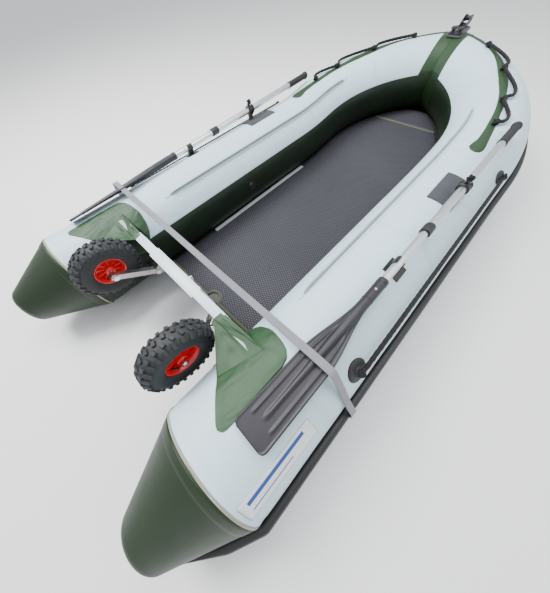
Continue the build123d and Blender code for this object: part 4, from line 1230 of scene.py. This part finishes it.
def floor_line(x):
    """Height of the mat's top over the ground: level, then rising with the sheer."""
    at = x - transom_x
    depth = TUBE - MAT_TOP
    if at <= SHEER_START:
        return TUBE - depth
    reach = at - SHEER_START
    if at <= rise_x:
        return TUBE + SHEER_RADIUS - sqrt((SHEER_RADIUS + depth) ** 2 - reach ** 2)
    origin = TUBE + SHEER_RADIUS - (SHEER_RADIUS + depth) * cos(SHEER)
    return origin + (reach - (SHEER_RADIUS + depth) * sin(SHEER)) * tan(SHEER)


def mat_half(x, inset):
    """Half the mat's width at a station."""
    radius = BOW_RADIUS - inset
    reach = (x - transom_x - BOW_START) / cos(SHEER)
    if reach <= 0:
        return tube_y - inset
    return max(0.0, sqrt(max(0.0, radius ** 2 - reach ** 2)) - (BOW_RADIUS - tube_y))


mat_inset = tube_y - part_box("main_mat")[1][1]


def build_mat(node, name, hole):
    """A foam mat; where it ends across the boat it is bound."""
    low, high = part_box(node)
    start, stop = low.x + 0.001, high.x - 0.001
    spread = -0.001 if hole else 0.008
    count = int((stop - start) / 0.02)

    def place(s, t):
        x = start + (stop - start) * s
        y = (2 * t - 1) * (mat_half(x, mat_inset) + spread)
        if hole:
            bay = sqrt(max(0.0, MAT_BAY ** 2 - y ** 2)) if abs(y) < MAT_BAY else 0.0
            x = max(x, start + bay) if s < 0.5 else x
        return Vector((x, y, floor_line(x) - 0.0006))

    bm = mapped(grid(count, 60), place)
    if hole:
        bmesh.ops.remove_doubles(bm, verts=bm.verts, dist=1e-5)
    piece = finish(name, bm, foam, slot="eva_foam", replaces=[node], out=lambda point: Z)
    modifier(piece, "SOLIDIFY", thickness=0.007, offset=-1.0)

    def seam(x, bay):
        """A line across the boat at a station, round the half-moon at the drain."""
        half = mat_half(x, mat_inset) - 0.004
        points = [Vector((x, half, 0)), Vector((x, half * 0.5, 0)), Vector((x, 0.06, 0))]
        if bay:
            points += [Vector((x + MAT_BAY * sin(pi * step / 16), MAT_BAY * cos(pi * step / 16), 0))
                       for step in range(17)]
        points += [Vector((x, -0.06, 0)), Vector((x, -half * 0.5, 0)), Vector((x, -half, 0))]
        for point in points:
            point.z = floor_line(point.x) - 0.0025
        return even(points, 0.006)

    def tape(distance, angle):
        return 1.0 / sqrt((cos(angle) / 0.0042) ** 2 + (sin(angle) / 0.0085) ** 2)
    sweep(f"{name}_aft_binding", binding, seam(start, hole), tape, 12, slot="eva_foam")
    if hole:
        sweep(f"{name}_fore_binding", binding, seam(stop, False), tape, 12, slot="eva_foam")
    return piece


build_mat("main_mat", "main_mat_foam", True)
build_mat("bow_mat", "bow_mat_foam", False)

# ---- launching wheels ------------------------------------------------------------------------------
TYRE = 0.1325
TYRE_HALF = 0.0425
RIM = 0.057
red_paint = Paint("red_enamel", (0.72, 0.008, 0.012), 0.25, constants={"Coat Weight": 0.5})
red_paint.feed("Roughness", 0.2 + red_paint.noise(24.0, 4.0) * 0.22)
red_paint.feed("Base Color", red_paint.tone((0.72, 0.008, 0.012), red_paint.grain(0.2, 20.0)))
red_paint.raise_by(red_paint.noise(420.0), 0.0001)
red_paint = red_paint.material
tyre_rubber = moulded("tyre_rubber", (0.022, 0.024, 0.027), 0.62, 0.0005)


def wheel_matrix(label, side):
    low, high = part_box(f"{label}_tyre")
    return placed((low + high) / 2, X, Y * side)


def build_tyre(label, side):
    at = wheel_matrix(label, side)
    half, shoulder = TYRE_HALF, TYRE - 0.026
    outline = [(RIM + 0.0008, -half + 0.016), (RIM + 0.006, -half + 0.009), (RIM + 0.012, -half + 0.004),
               (0.082, -half), (0.098, -half + 0.0005), (shoulder + 0.006, -half + 0.005),
               (TYRE - 0.012, -half + 0.015), (TYRE - 0.0075, -half + 0.026), (TYRE - 0.0065, 0.0)]
    outline += [(radius, -height) for radius, height in reversed(outline[:-1])]
    bead = [(RIM + 0.0008, half - 0.020), (RIM + 0.0008, -half + 0.020), outline[0]]
    lathe(f"{label}_tyre_casing", tyre_rubber, outline + bead, at, 72, body=f"{label}_wheel",
          slot="tyre_rubber", replaces=[f"{label}_tyre"])
    bm = bmesh.new()
    count = 26
    for step in range(count):
        for lane, (across, shift, long, wide) in enumerate(((-0.012, 0.0, 0.0125, 0.018),
                                                            (0.012, 0.5, 0.0125, 0.018))):
            turn = Matrix.Rotation(tau * (step + shift) / count, 4, "Z")
            lean = Matrix.Rotation(radians(18 if lane else -18), 4, "X")
            block(bm, (0.0125, long, wide), at @ turn @ Matrix.Translation((TYRE - 0.0066, 0, across))
                  @ lean, 0.0013, 1)
        for sign in (1, -1):
            turn = Matrix.Rotation(tau * (step + 0.25 + 0.5 * (sign > 0)) / count, 4, "Z")
            lean = Matrix.Rotation(sign * radians(-38), 4, "Y")
            long = 0.016 if step % 2 else 0.011
            block(bm, (0.010, 0.0125, long + 0.009), at @ turn
                  @ Matrix.Translation((TYRE - 0.0135, 0, sign * 0.0315)) @ lean, 0.0013, 1)
    crease(finish(f"{label}_tyre_knobs", bm, tyre_rubber, f"{label}_wheel", "tyre_rubber"))
    for name, radius, offset in (("outer", 0.088, half - 0.0004), ("inner", 0.088, -half + 0.0004)):
        ring = [at @ Vector((radius * cos(a), radius * sin(a), offset))
                for a in [tau * step / 72 for step in range(73)]]
        sweep(f"{label}_tyre_{name}_line", tyre_rubber, ring, 0.0011, 8, body=f"{label}_wheel",
              slot="tyre_rubber")


def build_rim(label, side):
    at = wheel_matrix(label, side)
    body, slot = f"{label}_wheel", "red_rim"
    outline = [(RIM - 0.004, -0.026), (RIM + 0.002, -0.0315), (RIM + 0.007, -0.0318),
               (RIM + 0.0072, -0.0295), (RIM, -0.027), (RIM - 0.0005, 0.027), (RIM + 0.0072, 0.0295),
               (RIM + 0.007, 0.0318), (RIM + 0.002, 0.0315), (RIM - 0.004, 0.026), (RIM - 0.008, 0.012),
               (RIM - 0.008, -0.012), (RIM - 0.004, -0.026)]
    lathe(f"{label}_rim_ring", red_paint, outline, at, 64, body=body, slot=slot,
          replaces=[f"{label}_rim"])
    hub = [(0.0088, -0.030), (0.0175, -0.030), (0.019, -0.028), (0.019, -0.006), (0.024, -0.0035),
           (RIM - 0.0078, -0.0035), (RIM - 0.0078, 0.0035), (0.024, 0.0035), (0.019, 0.006),
           (0.019, 0.028), (0.0175, 0.030), (0.0088, 0.030), (0.0088, -0.030)]
    lathe(f"{label}_rim_hub", red_paint, hub, at, 48, body=body, slot=slot)
    bm = bmesh.new()
    for step in range(10):
        turn = Matrix.Rotation(tau * step / 10, 4, "Z")
        for sign in (1, -1):
            block(bm, (0.034, 0.0035, 0.013), at @ turn
                  @ Matrix.Translation((0.0335, 0, sign * 0.009)), 0.0012, 2)
    crease(finish(f"{label}_rim_spokes", bm, red_paint, body, slot))
    bm = bmesh.new()
    valve = Matrix.Rotation(tau * 0.56, 4, "Z")
    rod(bm, at @ valve @ Vector((RIM - 0.010, 0, 0.016)), at @ valve @ Vector((RIM - 0.026, 0, 0.030)),
        0.0032, 12)
    rod(bm, at @ valve @ Vector((RIM - 0.026, 0, 0.030)), at @ valve @ Vector((RIM - 0.031, 0, 0.0345)),
        0.0042, 12)
    crease(finish(f"{label}_valve_stem", bm, black_moulding, body, "black_rubber"))
    bm = bmesh.new()
    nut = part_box(f"{label}_axle")
    end = Vector((at.translation.x, side * max(abs(nut[0].y), abs(nut[1].y)), at.translation.z))
    rod(bm, end - Y * side * 0.001, end + Y * side * 0.0025, 0.0125, 32)
    bmesh.ops.create_uvsphere(bm, u_segments=24, v_segments=12, radius=0.0085,
                              matrix=placed(end + Y * side * 0.0008, X, Y * side)
                              @ Matrix.Diagonal((1, 1, 0.7, 1)))
    crease(finish(f"{label}_axle_cap", bm, chrome, f"{label}_leg", "stainless"))


def build_bracket_bolts(label, side):
    """Bolt heads and nuts through the bracket plate, and the nuts on the board's front."""
    bm = bmesh.new()
    down = (TRANSOM_TOP - 0.262) / cos(RAKE)
    for across in (-0.024, 0.024):
        for lift in (-0.048, 0.048):
            back = on_transom(side * 0.203 + across, down - lift, -BOARD / 2 - 0.0033)
            rod(bm, back.translation, back @ Vector((0, 0, -0.0018)), 0.0072, 24)
            rod(bm, back @ Vector((0, 0, -0.0018)), back @ Vector((0, 0, -0.0062)), 0.0056, 6)
            fore = on_transom(side * 0.203 + across, down - lift, BOARD / 2 + 0.0003)
            rod(bm, fore.translation, fore @ Vector((0, 0, 0.0015)), 0.0075, 24)
            rod(bm, fore @ Vector((0, 0, 0.0015)), fore @ Vector((0, 0, 0.0055)), 0.0060, 6)
    crease(finish(f"{label}_bracket_bolts", bm, chrome, slot="stainless"))


for label, side in SIDES:
    build_tyre(label, side)
    build_rim(label, side)
    build_bracket_bolts(label, side)
dress(stainless, "wheel_brackets", "port_wheel_leg", "starboard_wheel_leg")
dress(chrome, "pivot_pins", "port_axle", "starboard_axle", "roller_pin")

# ---- oars --------------------------------------------------------------------------------------------
OAR_TIP = Vector((-0.170, 0.606, 0.430))
OAR_END = Vector((1.590, 0.640, 0.476))
BLADE = 0.500
SLEEVE_END = 0.615
SHAFT = 0.016
OARLOCK_X = 1.030
PORT_ROLL = radians(27)
blade_plastic = moulded("blade_plastic", (0.017, 0.016, 0.022), 0.42, 0.0002)
grip_rubber = moulded("grip_rubber", (0.016, 0.016, 0.017), 0.66, 0.0003)


def oar_frame(side):
    """The oar's tip, its direction, its outboard side and its upper side."""
    tip = OAR_TIP + X * transom_x
    end = OAR_END + X * transom_x
    along = (end - tip).normalized()
    over = Z.cross(along).normalized()
    up = along.cross(over)
    flip = Vector((1, side, 1))
    return tip * flip, along * flip, over * flip, up * flip


def build_blade(label, side):
    tip, along, over, up = oar_frame(side)
    if side == 1:
        over, up = over * cos(PORT_ROLL) - up * sin(PORT_ROLL), up * cos(PORT_ROLL) + over * sin(PORT_ROLL)

    def half_width(d):
        if d < 0.25:
            corner = max(0.0, 1 - d / 0.020)
            return 0.056 - 0.004 * d / 0.25 - 0.014 * (1 - sqrt(max(0.0, 1 - corner ** 2)))
        if d < BLADE:
            reach = (d - 0.25) / (BLADE - 0.25)
            return 0.052 - 0.034 * (3 * reach ** 2 - 2 * reach ** 3)
        return 0.018

    def swell(low, high, value):
        reach = min(1.0, max(0.0, (value - low) / (high - low)))
        return reach * reach * (3 - 2 * reach)

    def place(s, t):
        d = SLEEVE_END * s
        angle = tau * (t % 1.0)
        half = half_width(d)
        x = half * cos(angle)
        sign = 1.0 if angle < pi else -1.0
        flat = 0.0030 * min(1.0, (1 - abs(cos(angle))) / 0.04 + 0.25)
        spine = swell(0.055, 0.085, d) * (0.0045 + 0.010 * swell(0.08, 0.5, d))
        ridge = spine * exp(-(x / (0.0065 + 0.010 * swell(0.10, 0.5, d))) ** 4)
        side_at = 0.032 * half / 0.054
        side_rib = 0.0032 * swell(0.045, 0.062, d) * (1 - swell(0.40, 0.46, d))
        rib = side_rib * exp(-((abs(x) - side_at) / 0.0042) ** 4)
        lip = 0.0012 * exp(-((abs(x) - half + 0.004) / 0.0026) ** 2) * (1 - swell(0.42, 0.48, d))
        high = flat + ridge + rib + lip
        round_ = swell(0.43, 0.50, d)
        high = high * (1 - round_) + round_ * 0.018 * abs(sin(angle))
        if d > SLEEVE_END - 0.012:
            high += 0.0012 * abs(sin(angle))
        return tip + along * d + over * x + up * (sign * high)

    bm = close_up(mapped(grid(170, 120), place, lambda s, t: (SLEEVE_END * s, t)))
    finish(f"{label}_blade_moulding", bm, blade_plastic, f"{label}_oar_aft", "dark_plastic",
           replaces=[f"{label}_oar_blade"])
    for name, distance in (("neck", 0.600), ("mid", 0.520)):
        ring = [tip + along * distance + over * (0.0182 * cos(a)) + up * (0.0182 * sin(a))
                for a in [tau * step / 40 for step in range(41)]]
        sweep(f"{label}_blade_{name}_ring", blade_plastic, ring, 0.0011, 8,
              body=f"{label}_oar_aft", slot="dark_plastic")
    bm = bmesh.new()
    rod(bm, tip + along * 0.560 + up * 0.017, tip + along * 0.560 + up * 0.0205, 0.0042, 16)
    rod(bm, tip + along * 0.560 + up * 0.0203, tip + along * 0.560 + up * 0.0218, 0.0026, 6)
    crease(finish(f"{label}_blade_screw", bm, chrome, f"{label}_oar_aft", "stainless"))


def build_grip(label, side):
    tip, along, _, up = oar_frame(side)
    length = (OAR_END - OAR_TIP).length
    base = placed(tip + along * (length - 0.185), up, along)
    outline = [(0.0, 0.0), (SHAFT + 0.0004, 0.0), (0.0195, 0.001), (0.0200, 0.006), (0.0172, 0.010)]
    for ring in range(12):
        at = 0.016 + ring * 0.0115
        outline += [(0.0172, at), (0.0180, at + 0.0025), (0.0180, at + 0.0075), (0.0172, at + 0.010)]
    outline += [(0.0175, 0.158), (0.0205, 0.168), (0.0215, 0.177), (0.0195, 0.1838), (0.0, 0.185)]
    lathe(f"{label}_grip_sleeve", grip_rubber, outline, base, 40, body=f"{label}_oar_fore",
          slot="black_rubber", replaces=[f"{label}_oar_grip"])


def build_joint_collar(label, side):
    """The plastic collar and sprung button where the two shafts telescope."""
    tip, along, _, up = oar_frame(side)
    base = placed(tip + along * 0.880, up, along)
    lathe(f"{label}_shaft_collar", black_moulding,
          [(0.0164, 0.0), (0.0195, 0.001), (0.0202, 0.004), (0.0202, 0.040), (0.0190, 0.046),
           (0.0168, 0.048), (0.0164, 0.048), (0.0164, 0.0)], base, 40, body=f"{label}_oar_fore",
          slot="black_plastic")
    bm = bmesh.new()
    at = tip + along * 0.960
    rod(bm, at + up * 0.0135, at + up * 0.0175, 0.0036, 16)
    bmesh.ops.create_uvsphere(bm, u_segments=16, v_segments=8, radius=0.0036,
                              matrix=Matrix.Translation(at + up * 0.0172))
    crease(finish(f"{label}_shaft_button", bm, chrome, f"{label}_oar_fore", "stainless"))


def build_oarlock(label, side):
    """The split collar on the shaft, its clamp ears, bolt and ball knot, and the pin below."""
    tip, along, over, up = oar_frame(side)
    reach = (OARLOCK_X - OAR_TIP.x) / along.x
    centre = tip + along * reach
    body, slot = f"{label}_oar_fore", "black_plastic"
    base = placed(centre - along * 0.019, up, along)
    lathe(f"{label}_lock_collar", black_moulding,
          [(0.0164, 0.0), (0.0225, 0.0), (0.0245, 0.002), (0.0245, 0.006), (0.0215, 0.009),
           (0.0215, 0.029), (0.0245, 0.032), (0.0245, 0.036), (0.0225, 0.038), (0.0164, 0.038),
           (0.0164, 0.0)], base, 40, body=body, slot=slot, replaces=[f"{label}_oarlock_clamp"])
    bm = bmesh.new()
    ears = placed(centre + up * 0.027, along, up)
    for sign in (1, -1):
        block(bm, (0.024, 0.0055, 0.018), ears @ Matrix.Translation((0, sign * 0.0042, 0)), 0.0015)
    block(bm, (0.030, 0.030, 0.008), placed(centre - up * 0.0235, along, up), 0.003)
    crease(finish(f"{label}_lock_ears", bm, black_moulding, body, slot))
    bm = bmesh.new()
    rod(bm, ears @ Vector((0, -0.0115, 0.002)), ears @ Vector((0, 0.0115, 0.002)), 0.0030, 16)
    for sign in (1, -1):
        rod(bm, ears @ Vector((0, sign * 0.0078, 0.002)), ears @ Vector((0, sign * 0.0115, 0.002)),
            0.0055, 6)
    socket_top = Vector((centre.x, centre.y, centre.z - 0.0256))
    rod(bm, socket_top, socket_top - Z * 0.020, 0.0058, 20)
    crease(finish(f"{label}_lock_bolt", bm, chrome, body, "stainless"))
    tie = placed(centre + up * 0.043, along, up)
    knot(f"{label}_lock_knot", tie, 0.0115, 0.0040, body)
    ring_at = placed(centre + up * 0.0365 + along * 0.020, up, over)
    ring = [ring_at @ Vector((0.0125 * cos(a), 0.0125 * sin(a), 0.0)) for a in
            [tau * step / 48 for step in range(49)]]
    sweep(f"{label}_lock_ring", chrome, ring, 0.0011, 8, body=body, slot="stainless")


for label, side in SIDES:
    build_blade(label, side)
    build_grip(label, side)
    build_joint_collar(label, side)
    build_oarlock(label, side)
shaft_metal = metal("anodised_shaft", (0.80, 0.81, 0.82), 0.30, (1.0, 50.0, 50.0))
dress(shaft_metal, "port_inner_shaft", "starboard_inner_shaft", "port_outer_shaft",
      "starboard_outer_shaft")
dress(pad_rubber, "oarlock_pads")
dress(black_moulding, "oar_clips", "rope_eyelets", "roller_bracket")
dress(soft_rubber, "bow_roller")

# ---- tie-down strap ----------------------------------------------------------------------------------
STRAP_X = 0.100
STRAP_HALF = 0.0125
strap_cloth = webbing("grey_strap", (0.24, 0.24, 0.27))


def build_strap():
    """Webbing over the blades and round the outside of both tubes."""
    outer = TUBE + 0.035
    half = [(tube_y + outer * cos(radians(a)), TUBE + outer * sin(radians(a)))
            for a in (-19, -13, -7, -1, 5)]
    half += [(tube_y + (TUBE + 0.010) * cos(radians(a)), TUBE + (TUBE + 0.010) * sin(radians(a)))
             for a in (19, 32)]
    half += [(0.676, 0.4470), (0.655, 0.4550), (0.605, 0.4580), (0.54, 0.4570)]
    path = half + [(0.27, 0.4490), (0.0, 0.4480)]
    path = path + [(-y, z) for y, z in reversed(path[:-1])]
    x = transom_x + STRAP_X
    line = rope_path([Vector((x, y, z)) for y, z in path], 0.006)
    length = sum((b - a).length for a, b in zip(line, line[1:]))
    frames = carried(line, Vector((0, line[0].y, 0)))
    count = len(line) - 1

    def place(s, t):
        point, _, up, side = frames[round(s * count)]
        return point + X * (STRAP_HALF * (2 * t - 1)) + X * 0.004 * sin(s * 5.0)

    bm = mapped(grid(count, 6), place, lambda s, t: (s * length, 2 * STRAP_HALF * t))
    strap = finish("tie_down_webbing", bm, strap_cloth, slot="grey_webbing",
                   replaces=["tie_down_strap"])
    modifier(strap, "SOLIDIFY", thickness=0.0018, offset=0.0)


build_strap()

# ---- bow fittings ------------------------------------------------------------------------------------
stem_origin = on_tube(stem_run, 90)
bow_deck = placed(Vector((stem_origin.x, 0, stem_origin.z)), ahead, rise)


def build_bow():
    bm = bmesh.new()
    outline = rounded([(-0.055, -0.048), (0.095, -0.048), (0.095, 0.048), (-0.055, 0.048)], 0.022, 6)
    plate(bm, outline, 0.006, bow_deck @ Matrix.Translation((0, 0, 0.0021)), 0.0018)
    crease(finish("bow_pad", bm, pad_rubber, slot="grey_rubber", replaces=["bow_patch"]))
    deck = 0.0084
    bm = bmesh.new()
    outline = rounded([(-0.040, -0.042), (0.0, -0.042), (0.0, 0.042), (-0.040, 0.042)], 0.009, 5)
    plate(bm, outline, 0.0045, bow_deck @ Matrix.Translation((0, 0, deck)), 0.0014)
    for y in (-0.034, 0.0, 0.034):
        rod(bm, bow_deck @ Vector((-0.020, y, deck + 0.0045)), bow_deck @ Vector((-0.020, y, deck + 0.006)),
            0.0042, 14)
    crease(finish("cleat_plate", bm, black_moulding, slot="black_plastic", replaces=["bow_cleat"]))
    for name, y in (("port", 0.022), ("starboard", -0.022)):
        at = bow_deck @ Matrix.Translation((-0.020, y, deck + 0.004))
        lathe(f"cleat_{name}_mushroom", black_moulding,
              [(0.0, 0.0), (0.0115, 0.0), (0.0095, 0.004), (0.0080, 0.010), (0.0085, 0.017),
               (0.0125, 0.0195), (0.0168, 0.0205), (0.0172, 0.0235), (0.0150, 0.0275), (0.0095, 0.0292),
               (0.0, 0.0295)], at, 40, slot="black_plastic")
    bm = bmesh.new()
    for x in (0.018, 0.040, 0.100):
        for y in (-0.011, 0.011):
            rod(bm, bow_deck @ Vector((x, y, deck + 0.003)), bow_deck @ Vector((x, y, deck + 0.0055)),
                0.0040, 12)
    crease(finish("bracket_screws", bm, chrome, slot="stainless"))


build_bow()

# ---- unlettered side panel ---------------------------------------------------------------------------


def panel_print():
    """A white panel with plain blue bands."""
    paint = Paint("side_panel_print", (0.72, 0.75, 0.78), 0.3)
    run, turn, _ = paint.split(paint.coords("UV"))
    upper = turn.band(43.2 / 360, 46.6 / 360, 0.0004) * run.band(-0.270, -0.060, 0.001)
    lower = turn.band(37.2 / 360, 38.4 / 360, 0.0003) * run.band(-0.270, -0.120, 0.001)
    rim = 1 - turn.band(32.2 / 360, 49.4 / 360, 0.0002) * run.band(-0.290, -0.030, 0.0008)
    ink = upper.most(lower)
    white = paint.mix(rim, (0.74, 0.77, 0.80), (0.50, 0.54, 0.60))
    paint.feed("Base Color", paint.mix(ink, white, (0.010, 0.055, 0.30)))
    paint.feed("Roughness", 0.24 + paint.noise(20.0, 4.0) * 0.2)
    paint.raise_by(paint.noise(150.0), 0.0002)
    return paint.material


thicken(tube_sheet("starboard_side_panel", panel_print(), (-0.293, -0.027), (31.5, 50.0), 24, 14, 0.0003,
                   -1, slot="light_pvc"), 0.0004)
